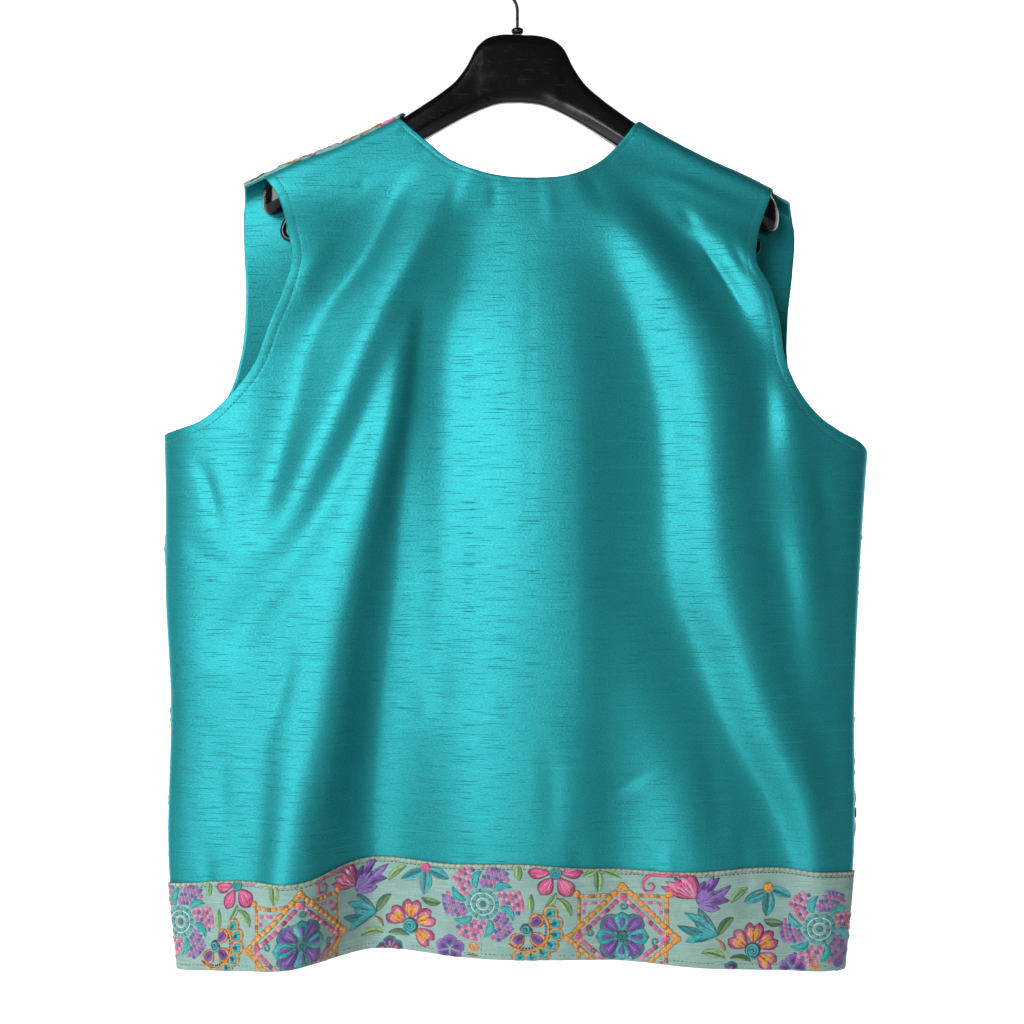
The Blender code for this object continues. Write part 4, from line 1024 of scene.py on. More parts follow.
def leaf(start, end, width, threads, bow=0.12):
    """Leaf of two halves, one thread on each side of its vein."""
    middle = bowed(start, end, bow, 8)
    f = np.linspace(0.0, 1.0, 8)
    half = np.maximum(width / 2.0 * np.sin(f * math.pi) ** 0.8, 0.1)
    return [pad(beside(middle, half[:, None] * 0.5 * side), half * 0.52, 0.75, thread, 4,
                0.8 * side)
            for side, thread in ((1.0, threads[0]), (-1.0, threads[1]))]


def ring_path(centre, radius, start=0.0, turn=360.0, step=1.6):
    """Arc of a circle as a path, angles in degrees, anticlockwise for a positive turn."""
    count = max(4, int(abs(math.radians(turn)) * radius / step) + 1)
    angle = np.radians(np.linspace(start, start + turn, count))
    return np.asarray(centre) + radius * np.stack([np.cos(angle), np.sin(angle)], axis=-1)


def line_stitch(path, width, thread, height=0.6, across=4):
    """Narrow cord of satin stitch along a path."""
    return pad(path, width / 2.0, height, thread, across, 0.5)


def spiral(centre, radius, turns, thread, width=1.3, start=0.0):
    """Spiral cord: the radius grows evenly with the angle, up to its full size."""
    count = int(turns * 16) + 1
    f = np.linspace(0.12, 1.0, count)
    angle = math.radians(start) + f * turns * 2.0 * math.pi
    path = np.asarray(centre) + (radius - width / 2.0) * f[:, None] * np.stack(
        [np.cos(angle), np.sin(angle)], axis=-1)
    return line_stitch(path, width, thread, 0.75)


def disc(centre, radius, thread, height=0.6):
    """Round pad: a petal as wide as it is long."""
    start = (centre[0] - radius, centre[1])
    f = np.linspace(-1.0, 1.0, 7)
    return pad(bowed(start, (centre[0] + radius, centre[1]), 0.0, 7),
               np.maximum(radius * np.sqrt(1.0 - f ** 2), 0.1), height, thread)


def bricks(path, length, width, threads, gap=0.7, height=0.9, keep=None):
    """Row of short blocks along a path, whose threads follow one another in turn.

    keep tells, for a block's middle, whether it is sewn.
    """
    knots = lengths(path)
    count = max(1, int(round(knots[-1] / (length + gap))))
    pitch = knots[-1] / count
    made = []
    for index in range(count):
        at = np.linspace(index * pitch + gap / 2.0, (index + 1) * pitch - gap / 2.0, 4)
        at[1:3] = at[0] + (at[3] - at[0]) * np.array([0.16, 0.84])
        block = np.stack([np.interp(at, knots, column) for column in path.T], axis=-1)
        if keep is not None and not keep(block.mean(axis=0)):
            continue
        made.append(pad(block, width / 2.0, height, threads[index % len(threads)], 4))
    return made


def heart(centre, angle, length, width, thread, height=0.8):
    """Heart of two lobes from one point, towards the angle in degrees."""
    turn = math.radians(angle)
    ahead = np.array([math.cos(turn), math.sin(turn)])
    left = np.array([-ahead[1], ahead[0]])
    base = np.asarray(centre) - ahead * length * 0.5
    return [petal(base, base + ahead * length + left * side * width * 0.22,
                  width * 0.58, thread, height, bow=0.07 * side, fullest=0.66)
            for side in (-1.0, 1.0)]


def toward(centre, angle, distance):
    """Point at a distance from a centre, at an angle in degrees."""
    turn = math.radians(angle)
    return np.asarray(centre, dtype=float) + distance * np.array(
        [math.cos(turn), math.sin(turn)])


def rosette(centre):
    """Pinwheel of blocks: rings that widen clockwise from crescent to crescent."""
    made = [disc(centre, 2.9, "teal", 0.9),
            line_stitch(ring_path(centre, 4.9), 0.8, "cream", 0.5),
            line_stitch(ring_path(centre, 9.1), 0.8, "cream", 0.5)]
    made += bricks(ring_path(centre, 7.0), 2.4, 3.0, ["turquoise", "teal"], 0.4)
    made += bricks(ring_path(centre, 11.3), 2.7, 3.3, ["teal", "turquoise", "turquoise"],
                   0.4)
    starts = np.arange(6) * 60.0 - 10.0
    crescents = []
    for start in starts:
        f = np.linspace(0.0, 1.0, 9)
        radius = 13.4 + 14.2 * f
        angle = np.radians(start + 3.0 * np.sin(f * math.pi) - 19.0 * f ** 1.8)
        path = np.asarray(centre) + radius[:, None] * np.stack(
            [np.cos(angle), np.sin(angle)], axis=-1)
        crescents.append(path)
        made.append(pad(path, 3.1 * np.sin(f * math.pi) ** 0.7 + 0.15, 1.1, "turquoise",
                        5, 0.5))
    line = np.concatenate(crescents)

    def is_free(point):
        return np.hypot(*(line - point).T).min() > 3.6

    pinks = ["hot pink", "hot pink", "light pink"]
    purples = ["purple", "lilac", "purple"]
    for sector, start in enumerate(starts):
        for ring, radius in enumerate((14.9, 18.5, 22.1, 25.7, 29.3)):
            angle = np.radians(np.linspace(start, start - 60.0, 18))
            reach = radius + np.linspace(-0.8, 2.6, 18)
            path = np.asarray(centre) + reach[:, None] * np.stack(
                [np.cos(angle), np.sin(angle)], axis=-1)
            threads = pinks if (ring + sector) % 2 else purples
            if ring in (1, 3):
                threads = [threads[0], "lilac" if threads is pinks else "light pink"]
            made += bricks(path, 3.3, 3.45, threads, 0.2, 1.0, is_free)
    return made


def five_petals(centre):
    """Flower of five pointed petals with darker edges and a spiral eye."""
    made = []
    for angle, length, width in ((178.0, 22.5, 12.0), (235.0, 22.0, 14.5),
                                 (303.0, 23.5, 15.0), (2.6, 22.5, 12.5), (90.0, 20.0, 12.0)):
        start, end = toward(centre, angle, 3.0), toward(centre, angle, length)
        made.append(petal(start, end, width, "magenta", 0.6, fullest=0.6))
        made.append(petal(toward(centre, angle, 3.6), toward(centre, angle, length - 1.3),
                          width - 2.0, "hot pink", 1.0, fullest=0.6, steps=8))
        for lean, reach in ((-11.0, 6.5), (9.0, 5.0)):
            made.append(line_stitch(bowed(toward(centre, angle, 5.0),
                                          toward(centre, angle + lean, length - reach),
                                          0.04, 6), 1.5, "light pink", 1.3))
    made += [disc(centre, 5.4, "teal", 0.9), spiral(centre, 5.4, 2.5, "turquoise")]
    made[-1].points[..., 2] += 0.5
    x, y = centre
    made += leaf((x + 0.4, y - 15.5), (x - 8.5, y - 27.5), 5.6,
                 ("light green", "leaf green"))
    made += leaf((x + 0.8, y - 20.0), (x + 12.0, y - 36.0), 6.4,
                 ("leaf green", "light green"))
    return made


def sprig(centre):
    """Three green leaves from one point."""
    x, y = centre
    made = []
    for (dx, dy), width in (((-11.0, -5.0), 5.5), ((1.0, -19.5), 8.0), ((22.0, -8.5), 5.4)):
        made += leaf((x, y), (x + dx, y + dy), width, ("light green", "leaf green"), 0.05)
    return made


def framed_flower(centre):
    """Square and diamonds of blocks around a flower of eight petals."""
    x, y = centre

    def at(dx, dy):
        return (x + dx, y + dy)

    made = []
    half = 36.0
    corners = [at(-half, -34.0), at(-half, 34.0), at(half, 34.0), at(half, -34.0)]
    for start, end in zip(corners, corners[1:] + corners[:1]):
        made += bricks(even([start, end], 1.0), 4.1, 3.4, ["orange", "orange", "ochre"],
                       0.35, 1.1)
    for corner, knob in zip(corners, (at(-38, -36), at(-38, 36.5), at(38, 36.5),
                                      at(38, -36))):
        made += [disc(knob, 3.1, "orange", 1.4)]
    diamond = [at(0.0, 42.0), at(45.0, 0.0), at(0.0, -42.0), at(-45.0, 0.0)]
    inner = [at(0.0, 33.0), at(36.5, 0.0), at(0.0, -33.0), at(-36.5, 0.0)]
    for outline, length, width, threads in (
            (diamond, 5.6, 4.7, ["orange"]),
            (inner, 4.7, 4.1, ["hot pink", "light pink", "magenta", "hot pink"])):
        for start, end in zip(outline, outline[1:] + outline[:1]):
            made += bricks(even([start, end], 1.0), length, width, threads, 0.4, 1.1)
        made += [disc(corner, width * 0.62, threads[0], 1.3) for corner in outline]
    for sx, sy in ((-1, 1), (1, 1), (1, -1), (-1, -1)):
        made += bricks(even([at(32 * sx, 19 * sy), at(31.5 * sx, 28.4 * sy),
                             at(17.5 * sx, 28.4 * sy)], 1.0), 3.3, 3.0,
                       ["hot pink", "light pink"], 0.3)
        made.append(line_stitch(even([at(18 * sx, 25 * sy), at(28 * sx, 20 * sy)], 2.0),
                                1.3, "light pink", 0.5))
    for angle in (45.0, 135.0, 225.0, 315.0):
        made.append(petal(toward(centre, angle, 3.0), toward(centre, angle, 23.6), 18.5,
                          "teal", 0.6, fullest=0.66))
        made.append(petal(toward(centre, angle, 4.0), toward(centre, angle, 22.2), 15.6,
                          "purple", 1.0, fullest=0.66))
        for lean in (-13.0, 0.0, 13.0):
            made.append(line_stitch(even([toward(centre, angle + lean, 7.0),
                                          toward(centre, angle + lean, 18.5)], 2.5), 1.5,
                                    "deep purple" if lean else "lilac", 1.3))
    for angle, length in ((0.0, 22.6), (90.0, 20.5), (180.0, 22.4), (270.0, 20.5)):
        made.append(petal(toward(centre, angle, 3.0), toward(centre, angle, length), 15.4,
                          "turquoise", 1.3, fullest=0.64))
        made.append(petal(toward(centre, angle, 5.0), toward(centre, angle, length - 2.8),
                          8.4, "teal", 1.55, fullest=0.64))
        made.append(petal(toward(centre, angle, 5.0), toward(centre, angle, length - 4.0),
                          5.6, "purple", 1.75, fullest=0.64))
        made.append(line_stitch(even([toward(centre, angle, 6.0),
                                      toward(centre, angle, length - 5.5)], 2.5), 1.6,
                                "deep purple", 1.85))
    made += [disc(centre, 5.4, "deep teal", 1.7), spiral(centre, 5.2, 2.2, "teal", 1.5)]
    made[-1].points[..., 2] += 1.3
    for (dx, dy), start in (((1.0, 25.0), 250.0), ((-27.0, 3.0), 20.0),
                            ((27.8, -3.4), 160.0)):
        made.append(spiral(at(dx, dy), 4.9, 1.5, "teal", 1.9, start))
    return made


def pink_tulip(base):
    """Tulip that leans left, with a stem that curls up beyond it."""
    x, y = base
    made = []
    for (dx, dy), width, thread in (
            ((-22.0, 5.0), 6.5, "magenta"), ((-3.0, 20.0), 7.5, "magenta"),
            ((-28.0, 9.0), 7.0, "hot pink"), ((-6.0, 20.5), 7.5, "hot pink"),
            ((-25.0, 14.0), 6.5, "light pink"), ((-12.0, 19.0), 7.0, "light pink"),
            ((-18.5, 17.0), 6.5, "hot pink"), ((-14.0, 11.5), 5.5, "light pink")):
        made.append(petal((x, y), (x + dx, y + dy), width, thread, 0.7 + 0.12 * len(made),
                          fullest=0.58))
        made.append(line_stitch(bowed((x + dx * 0.2, y + dy * 0.2),
                                      (x + dx * 0.8, y + dy * 0.8), 0.03, 5), 1.2,
                                "magenta" if thread != "magenta" else "hot pink",
                                1.0 + 0.12 * len(made)))
    stem = [(-6.0, 19.5), (-16.0, 20.0), (-25.5, 18.2), (-36.0, 17.5), (-42.0, 12.0),
            (-41.0, 5.5), (-35.5, 4.4), (-32.8, 8.6), (-35.6, 11.6), (-37.8, 9.2)]
    path = along([(x + dx, y + dy) for dx, dy in stem], np.linspace(0.0, 1.0, 26))
    made.append(line_stitch(path, np.linspace(4.4, 1.6, 26), "hot pink", 0.9))
    return made


def fan_tulip(base, tips, threads):
    """Tulip as a fan of pointed petals from one base."""
    x, y = base
    made = []
    for index, (dx, dy) in enumerate(tips):
        end = (x + dx, y + dy)
        made.append(petal((x, y), end, 7.8, threads[index % 2], 0.8 + 0.1 * index,
                          bow=0.05 * (-1) ** index, fullest=0.54))
        made.append(line_stitch(bowed((x + dx * 0.2, y + dy * 0.2),
                                      (x + dx * 0.84, y + dy * 0.84), 0.03, 5),
                                1.3, threads[-1], 1.15 + 0.1 * index))
        if index:
            near = tips[index - 1]
            middle = (x + (dx + near[0]) * 0.3, y + (dy + near[1]) * 0.3)
            made.append(petal((x, y), middle, 5.5, threads[1], 1.5, fullest=0.6))
    return made


def heart_flower(centre):
    """Flower with heart petals, pink around orange, and a large spiral eye."""
    made = []
    for angle in (143.0, 85.0, 28.0, -37.0):
        middle = toward(centre, angle, 13.6)
        made += heart(middle, angle, 19.0, 17.5, "magenta", 0.6)
        made += heart(middle, angle, 17.4, 15.8, "hot pink", 1.0)
        made += heart(toward(centre, angle, 12.9), angle, 14.2, 12.2, "pale ground", 1.1)
        made += heart(toward(centre, angle, 12.5), angle, 12.4, 10.0, "orange", 1.5)
    made += [disc(centre, 6.9, "deep teal", 1.6), spiral(centre, 7.0, 2.8, "turquoise", 1.9)]
    made[-1].points[..., 2] += 1.1
    return made


def leaf_flower(centre, eye):
    """Flower of teal leaves with a small eye."""
    x, y = centre
    made = []
    for (dx, dy), width in (((-21.5, -9.5), 9.6), ((-2.4, -22.5), 11.0), ((19.5, -7.5), 9.0)):
        made += leaf((x, y), (x + dx, y + dy), width, ("turquoise", "teal"), 0.05)
    made.append(disc((x, y + 1.0), 4.6, eye, 1.5))
    return made


def lobed_flower(centre, threads=("purple", "deep purple", "lilac")):
    """Small flower of rounded lobes with light edges."""
    made = []
    for angle in (90.0, 18.0, -54.0, 234.0, 162.0):
        made.append(petal(toward(centre, angle, 0.5), toward(centre, angle, 12.2), 11.6,
                          threads[2], 0.7, fullest=0.66))
        made.append(petal(toward(centre, angle, 1.0), toward(centre, angle, 11.0), 9.4,
                          threads[0], 1.1, fullest=0.66))
        made.append(petal(toward(centre, angle, 2.0), toward(centre, angle, 8.8), 4.4,
                          threads[1], 1.3, fullest=0.6))
    return made


def half_flower(centre):
    """Fan flower: purple petals edged in orange, dots, and scallops edged in orange."""
    made = []
    for angle, length in ((42.0, 18.0), (-42.0, 20.0), (-128.0, 18.0)):
        for start, end, width, thread, height in (
                (2.5, length, 13.4, "orange", 1.2), (3.5, length - 1.6, 10.4, "purple", 1.6),
                (5.5, length - 3.6, 3.4, "deep purple", 1.8)):
            made.append(petal(toward(centre, angle, start), toward(centre, angle, end),
                              width, thread, height))
    around = np.arange(36.0, -124.0, -23.0)
    for angle in around:
        made.append(disc(toward(centre, angle, 24.2), 6.8, "orange", 0.8))
    for angle in around:
        made.append(disc(toward(centre, angle, 24.0), 5.4, "turquoise", 1.15))
        made.append(petal(toward(centre, angle, 18.6), toward(centre, angle, 26.0), 4.0,
                          "deep teal", 1.4))
    made.append(line_stitch(ring_path(centre, 18.2, 46.0, -186.0), 1.9, "orange", 1.5))
    for angle in np.arange(36.0, -124.0, -9.0):
        made.append(disc(toward(centre, angle, 15.9), 1.0, "deep purple", 0.9))
    made += [disc(centre, 5.2, "deep teal", 1.7), spiral(centre, 5.2, 2.0, "turquoise", 1.7)]
    made[-1].points[..., 2] += 1.1
    return made


def pattern_repeat(eye):
    """One repeat of the embroidery, its rosette at (0, 0)."""
    square = (112.3, -27.5)
    hearts = (216.8, -38.0)

    def from_square(dx, dy):
        return (square[0] + dx, square[1] + dy)

    def from_hearts(dx, dy):
        return (hearts[0] + dx, hearts[1] + dy)

    made = five_petals((57.8, 26.5)) + sprig((90.6, 28.5)) + framed_flower(square)
    made += pink_tulip(from_square(59.1, 33.3))
    made += fan_tulip(from_square(59.4, 29.2),
                      ((6.3, 18.9), (13.0, 22.5), (18.4, 20.9), (27.7, 14.1), (26.7, 1.5),
                       (18.9, -4.4)), ("purple", "lilac", "deep purple"))
    made += fan_tulip(from_square(76.8, 3.0),
                      ((-16.8, 23.6), (-28.0, 19.1), (-33.4, 8.3), (-26.5, -5.4),
                       (-20.0, 14.0)), ("teal", "turquoise", "deep teal"))
    made += half_flower(from_square(-78.0, 7.5))
    made += heart_flower(hearts)
    made += leaf_flower(from_hearts(13.4, 49.0), eye)
    made += lobed_flower((249.7, -54.0))
    made += lobed_flower(from_hearts(-17.5, -19.5), ("deep purple", "hot pink", "teal"))
    made += [spiral((268.0, -50.9), 4.9, 2.0, "orange", 1.8),
             spiral((287.0, -50.5), 5.0, 2.2, "purple", 1.9),
             petal(from_square(60.5, 28.8), from_square(72.5, 24.8), 3.4, "orange", 0.8),
             petal(from_square(73.0, 1.0), from_square(82.0, -10.5), 3.0, "ochre", 0.8, 0.15),
             petal((262.0, -58.0), (272.0, -58.8), 2.4, "ochre", 0.7)]
    green, dark = ("light green", "leaf green"), ("dark green", "leaf green")
    for start, end, width, threads in (
            ((-18.2, 38.8), (-2.6, 50.5), 7.0, green), ((-27.9, 13.1), (-15.2, 27.7), 8.0, dark),
            ((26.0, 21.8), (9.0, 24.8), 7.0, dark), ((-42.0, -0.5), (-22.0, -5.3), 7.2, green),
            ((-19.0, -5.3), (-0.7, -9.2), 5.6, dark), ((-33.2, -7.3), (-48.0, -20.0), 7.0, dark)):
        made += leaf(from_hearts(*start), from_hearts(*end), width, threads)
    made += leaf((38.9, -7.0), (38.4, 10.0), 5.6, green, 0.03)
    made += leaf((29.6, 19.9), (29.6, 33.0), 7.0, green)
    made += leaf((140.0, 24.0), (126.0, 33.0), 6.0, dark)
    return made


def inside_outline(points, outline):
    """Which 2D points lie inside a closed outline, by counting crossings to the right."""
    inside = np.zeros(len(points), dtype=bool)
    ends = np.roll(outline, -1, axis=0)
    for (x0, y0), (x1, y1) in zip(outline, ends):
        if y0 == y1:
            continue
        spans = (y0 > points[:, 1]) != (y1 > points[:, 1])
        cross = x0 + (points[:, 1] - y0) * (x1 - x0) / (y1 - y0)
        inside ^= spans & (points[:, 0] < cross)
    return inside


def trimmed(pads, outline):
    """Pads whose middle is inside the outline, their points outside moved onto it."""
    outline = np.asarray(outline)
    middles = np.array([p.points[..., :2].reshape(-1, 2).mean(axis=0) for p in pads])
    kept = [p for p, inside in zip(pads, inside_outline(middles, outline)) if inside]
    ring = even(np.concatenate([outline, outline[:1]]), 0.5)
    counts = np.cumsum([p.points.shape[0] * p.points.shape[1] for p in kept])[:-1]
    flat = np.concatenate([p.points.reshape(-1, 3) for p in kept])
    outside = np.flatnonzero(~inside_outline(flat[:, :2], outline))
    for start in range(0, len(outside), 2000):
        chosen = outside[start:start + 2000]
        gap = np.hypot(flat[chosen, None, 0] - ring[None, :, 0],
                       flat[chosen, None, 1] - ring[None, :, 1])
        flat[chosen, :2] = ring[gap.argmin(axis=1)]
    return [p._replace(points=part.reshape(p.points.shape))
            for p, part in zip(kept, np.split(flat, counts))]


def moved_pads(pads, move):
    """Pads with their (along, up) sent through a function."""
    counts = np.cumsum([p.points.shape[0] * p.points.shape[1] for p in pads])[:-1]
    flat = np.concatenate([p.points.reshape(-1, 3) for p in pads])
    moved = np.concatenate([move(flat[:, 0], flat[:, 1]), flat[:, 2:]], axis=-1)
    return [p._replace(points=part.reshape(p.points.shape))
            for p, part in zip(pads, np.split(moved, counts))]


def sewn_piece(name, pads, surface, toward_front):
    """One mesh of many pads, laid on a cloth whose face is surface(x, v) mm out.

    The colour attribute is each pad's thread colour with painted shade on its rim, where the
    thread dips into the cloth.
    """
    flat = np.concatenate([p.points.reshape(-1, 3) for p in pads])
    stitch = np.concatenate([p.stitch.reshape(-1, 2) for p in pads]) * MM
    x, v = flat[:, 0], flat[:, 1]
    points = laid(x, v, surface(x, v) + flat[:, 2], toward_front)
    faces, tints, start = [], [], 0
    palette = {thread: (*linear(code), 1.0) for thread, code in THREADS.items()}
    for p in pads:
        rows, columns = p.points.shape[:2]
        across = np.diff(p.points[..., :2], axis=1)[:-1]
        ahead = np.diff(p.points[..., :2], axis=0)[:, :-1]
        area = (across[..., 0] * ahead[..., 1] - across[..., 1] * ahead[..., 0]).sum()
        quads = grid_quads(rows, columns)
        if (area < 0.0) != toward_front:
            quads = quads[:, ::-1]
        faces.append(quads + start)
        start += rows * columns
        # Painted shade: a pad's outer columns and end rows keep only a small share of its
        # thread's colour, a dark outline where shade falls between thread and cloth
        rim = np.ones((rows, columns, 1))
        rim[:, (0, -1)] = PAINTED_RIM_SHADE
        rim[(0, -1), :] = PAINTED_RIM_SHADE
        tints.append((np.array(palette[p.thread]) * rim).reshape(-1, 4))
    faces = np.concatenate(faces)
    obj = new_piece(name, points, faces, material_for(embroidery_thread),
                    [("Stitch", stitch)])
    attribute = obj.data.attributes.new("Thread colour and painted rim shade", "FLOAT_COLOR", "POINT")
    attribute.data.foreach_set("color", np.concatenate(tints).astype(np.float32).ravel())
    return obj


def stitches_along(path, length, thread="satin thread", gap=0.8):
    """Row of topstitches: short blocks of thread along a path."""
    return bricks(np.asarray(path), length, 0.8, [thread], gap, 0.7)


def back_edges(sizes):
    """Finished edges of the back: (path, stitch distance, raised, pucker) in mm."""
    flat = back_flat()
    side_rows = CLOTH_ROWS["band"] + CLOTH_ROWS["side"]
    neck_start = BACK_COLUMNS[0][1]
    neck_end = neck_start + BACK_COLUMNS[1][1]
    return [(flat[side_rows:, 0], sizes.armhole_topstitch / MM, 0.05, 0.07),
            (flat[side_rows:, -1], sizes.armhole_topstitch / MM, 0.12, 0.08),
            (flat[-1, neck_start:neck_end + 1], sizes.neck_topstitch / MM, 0.05, 0.15)]


def band_outline(flat):
    """Outline of the hem band in flat coordinates."""
    return border(flat[:CLOTH_ROWS["band"] + 1])


# Second rosette of the plain repeat, spacing of the whipped loops, path of the stitches
# that turn the back's right shoulder corner
LAST_ROSETTE = (REPEAT - 2.0, -21.5)
WHIP_SPACING = 1.15
SHOULDER_CORNER = [(104.5, -160.0), (104.0, -174.5), (80.5, -178.5)]

# Rows of the fronts' pattern: lowest centre, top, spacing, start of a repeat, and the
# height and reach at which cloth lengths are measured from the centre edge
PATTERN_LOWEST = -790.0
PATTERN_TOP = -100.0
PATTERN_ROW = 108.0
PATTERN_START = 40.0
MEASURED_HEIGHT = -600.0
MEASURED_REACH = 292.0
MEASURED_POINTS = 500


class WAISTCOAT_OT_back(bpy.types.Operator):
    """Make the satin back with its topstitched neck and armholes"""

    bl_idname = "waistcoat.back"
    bl_label = "Satin back"

    def execute(self, context):
        finish = context.scene.waistcoat_finish
        flat = back_flat()
        x, v = flat[..., 0], flat[..., 1]
        edges = back_edges(finish)
        relief = edge_relief(x, v, edges)
        inner = laid(x, v, 0.5 * relief, False)
        outer = laid(x, v, BACK_WALL + relief, False)
        satin = material_for(dupion_satin, finish.satin)
        back = ride(cloth_shell("satin_back", flat, inner, outer, satin),
                    "dupion_satin", "back_panel")
        length = finish.stitch_length / MM
        pads = []
        for (path, distance, _, _), side in zip(edges, (-1.0, 1.0, -1.0)):
            line = beside(even(path, 2.0), side * distance)
            pads += stitches_along(line, length)
        corner = even(SHOULDER_CORNER, 2.0)
        pads += stitches_along(corner, length)
        pads = trimmed(pads, border(flat))

        def face(px, pv):
            return BACK_WALL + edge_relief(px, pv, edges)

        thread = ride(sewn_piece("back_topstitching", pads, face, False), "dupion_satin")
        return {"FINISHED"}


class WAISTCOAT_OT_hem_band(bpy.types.Operator):
    """Make the embroidered band on the back's hem, with its whipped top edge"""

    bl_idname = "waistcoat.hem_band"
    bl_label = "Hem band"

    def execute(self, context):
        finish = context.scene.waistcoat_finish
        flat = back_flat()[:CLOTH_ROWS["band"] + 1]
        x, v = flat[..., 0], flat[..., 1]
        edges = [(flat[-1], finish.band_topstitch / MM, 0.25, 0.16),
                 (flat[0], finish.hem_topstitch / MM, 0.35, 0.12)]
        base = BACK_WALL + SEAM_GAP

        def face(px, pv):
            return base + BAND_WALL + edge_relief(px, pv, edges)

        inner = laid(x, v, np.full_like(x, base), False)
        outer = laid(x, v, face(x, v), False)
        ground = material_for(linen_ground, finish.ground)
        band = ride(cloth_shell("hem_band_ground", flat, inner, outer, ground),
                    "embroidered_cloth", "back_hem_band")
        stations = np.array(PLEATED_REPEAT)

        def on_pleat(along_repeat, up):
            at = np.interp(along_repeat, stations[:, 0], stations[:, 1])
            rise = np.interp(along_repeat, stations[:, 0], stations[:, 2])
            return np.stack([at, PLEATED_HEIGHT + rise + up], axis=-1)

        def on_plain(along_repeat, up):
            return np.stack([PLAIN_START[0] + along_repeat, PLAIN_START[1] + up], axis=-1)

        pads = moved_pads(rosette((0.0, 0.0)) + pattern_repeat("hot pink"), on_pleat)
        pads += moved_pads(rosette((0.0, 0.0)) + rosette(LAST_ROSETTE)
                           + pattern_repeat("orange"), on_plain)
        motifs = ride(sewn_piece("hem_band_embroidery", trimmed(pads, band_outline(flat)),
                                 face, False), "embroidered_cloth")
        length = finish.stitch_length / MM
        sewing = stitches_along(beside(even(flat[-1], 2.0), -finish.band_topstitch / MM),
                                length, "hem thread")
        sewing += stitches_along(beside(even(flat[0], 2.0), finish.hem_topstitch / MM),
                                 length, "hem thread")
        seam = ride(sewn_piece("hem_band_topstitching", trimmed(sewing, band_outline(flat)),
                               face, False), "embroidered_cloth")
        top = even(flat[-1], WHIP_SPACING)
        loops = []
        for index, (px, pv) in enumerate(top):
            lean = 0.8 + 0.4 * math.sin(index * 2.4)
            reach = 2.0 + 0.6 * math.sin(index * 1.7 + 0.4)
            loops.append(pad([(px - lean, pv - reach), (px - lean * 0.3, pv - reach * 0.3),
                              (px + lean * 0.3, pv + 0.6), (px + lean * 0.6, pv + 1.2)],
                             0.5, 0.8 + 0.35 * math.sin(index * 0.9),
                             ("cream", "cream", "light green", "cream")[index % 4], 4))
        edge = ride(sewn_piece("hem_band_whipped_edge", loops,
                               lambda px, pv: np.full_like(px, base + BAND_WALL), False),
                    "embroidered_cloth")
        return {"FINISHED"}


class WAISTCOAT_OT_fronts(bpy.types.Operator):
    """Make both embroidered fronts and their satin linings"""

    bl_idname = "waistcoat.fronts"
    bl_label = "Fronts and linings"

    def execute(self, context):
        finish = context.scene.waistcoat_finish
        for side, name in ((-1.0, "left"), (1.0, "right")):
            self.make_front(finish, side, name)
            self.make_lining(finish, side, name)
        return {"FINISHED"}

    def make_front(self, finish, side, name):
        """Ground cloth, embroidery and topstitching of one front."""
        flat = front_flat(side, FRONT_COLUMNS, CLOTH_ROWS)
        x, v = flat[..., 0], flat[..., 1]
        side_rows = CLOTH_ROWS["band"] + CLOTH_ROWS["side"]
        edges = [(flat[side_rows:, 0], finish.armhole_topstitch / MM, 0.4, 0.1),
                 (flat[:, -1], finish.neck_topstitch / MM, 0.35, 0.12),
                 (flat[0], finish.hem_topstitch / MM, 0.35, 0.12)]

        def face(px, pv):
            return FRONT_WALL + edge_relief(px, pv, edges)

        inner = laid(x, v, np.zeros_like(x), True)
        outer = laid(x, v, face(x, v), True)
        ground = material_for(linen_ground, finish.ground)
        cloth = ride(cloth_shell(f"{name}_front_ground", flat, inner, outer, ground,
                                 side < 0), "embroidered_cloth", f"front_{name}")
        reach = np.linspace(0.0, MEASURED_REACH, MEASURED_POINTS)
        row = hang(reach * side, np.full_like(reach, MEASURED_HEIGHT), True)
        length = lengths(row)

        def on_front(start, height):
            def move(along_repeat, up):
                at = np.interp(along_repeat + start, length, reach) * side
                return np.stack([at, height + up], axis=-1)
            return move

        cell = rosette((0.0, 0.0)) + pattern_repeat("orange")
        pads = []
        for index, height in enumerate(np.arange(PATTERN_LOWEST, PATTERN_TOP, PATTERN_ROW)):
            for copy in (-1, 0, 1):
                start = PATTERN_START + copy * REPEAT + (index % 2) * REPEAT / 2.0
                middles = [p.points[..., 0].mean() + start for p in cell]
                chosen = [p for p, m in zip(cell, middles) if 0.5 < m < length[-1]]
                if chosen:
                    pads += moved_pads(chosen, on_front(start, height))
        outline = border(flat)
        if side < 0:
            outline = outline[::-1]
        motifs = ride(sewn_piece(f"{name}_front_embroidery", trimmed(pads, outline), face,
                                 True), "embroidered_cloth")
        stitch = finish.stitch_length / MM
        sewing = []
        for (path, distance, _, _), turn in zip(edges, (side, -side, -side)):
            sewing += stitches_along(beside(even(path, 2.0), turn * distance), stitch,
                                     "leaf green")
        seam = ride(sewn_piece(f"{name}_front_topstitching", trimmed(sewing, outline), face,
                               True), "embroidered_cloth")

    def make_lining(self, finish, side, name):
        """Satin lining of one front, 0.3 mm inside it."""
        flat = front_flat(side, LINING_COLUMNS, LINING_ROWS)
        x, v = flat[..., 0], flat[..., 1]
        outer = laid(x, v, np.full_like(x, -SEAM_GAP), True)
        inner = laid(x, v, np.full_like(x, -SEAM_GAP - LINING_WALL), True)
        satin = material_for(dupion_satin, finish.satin)
        lining = ride(cloth_shell(f"{name}_front_lining_satin", flat, inner, outer, satin,
                                  side < 0), "lining_satin", f"front_lining_{name}")


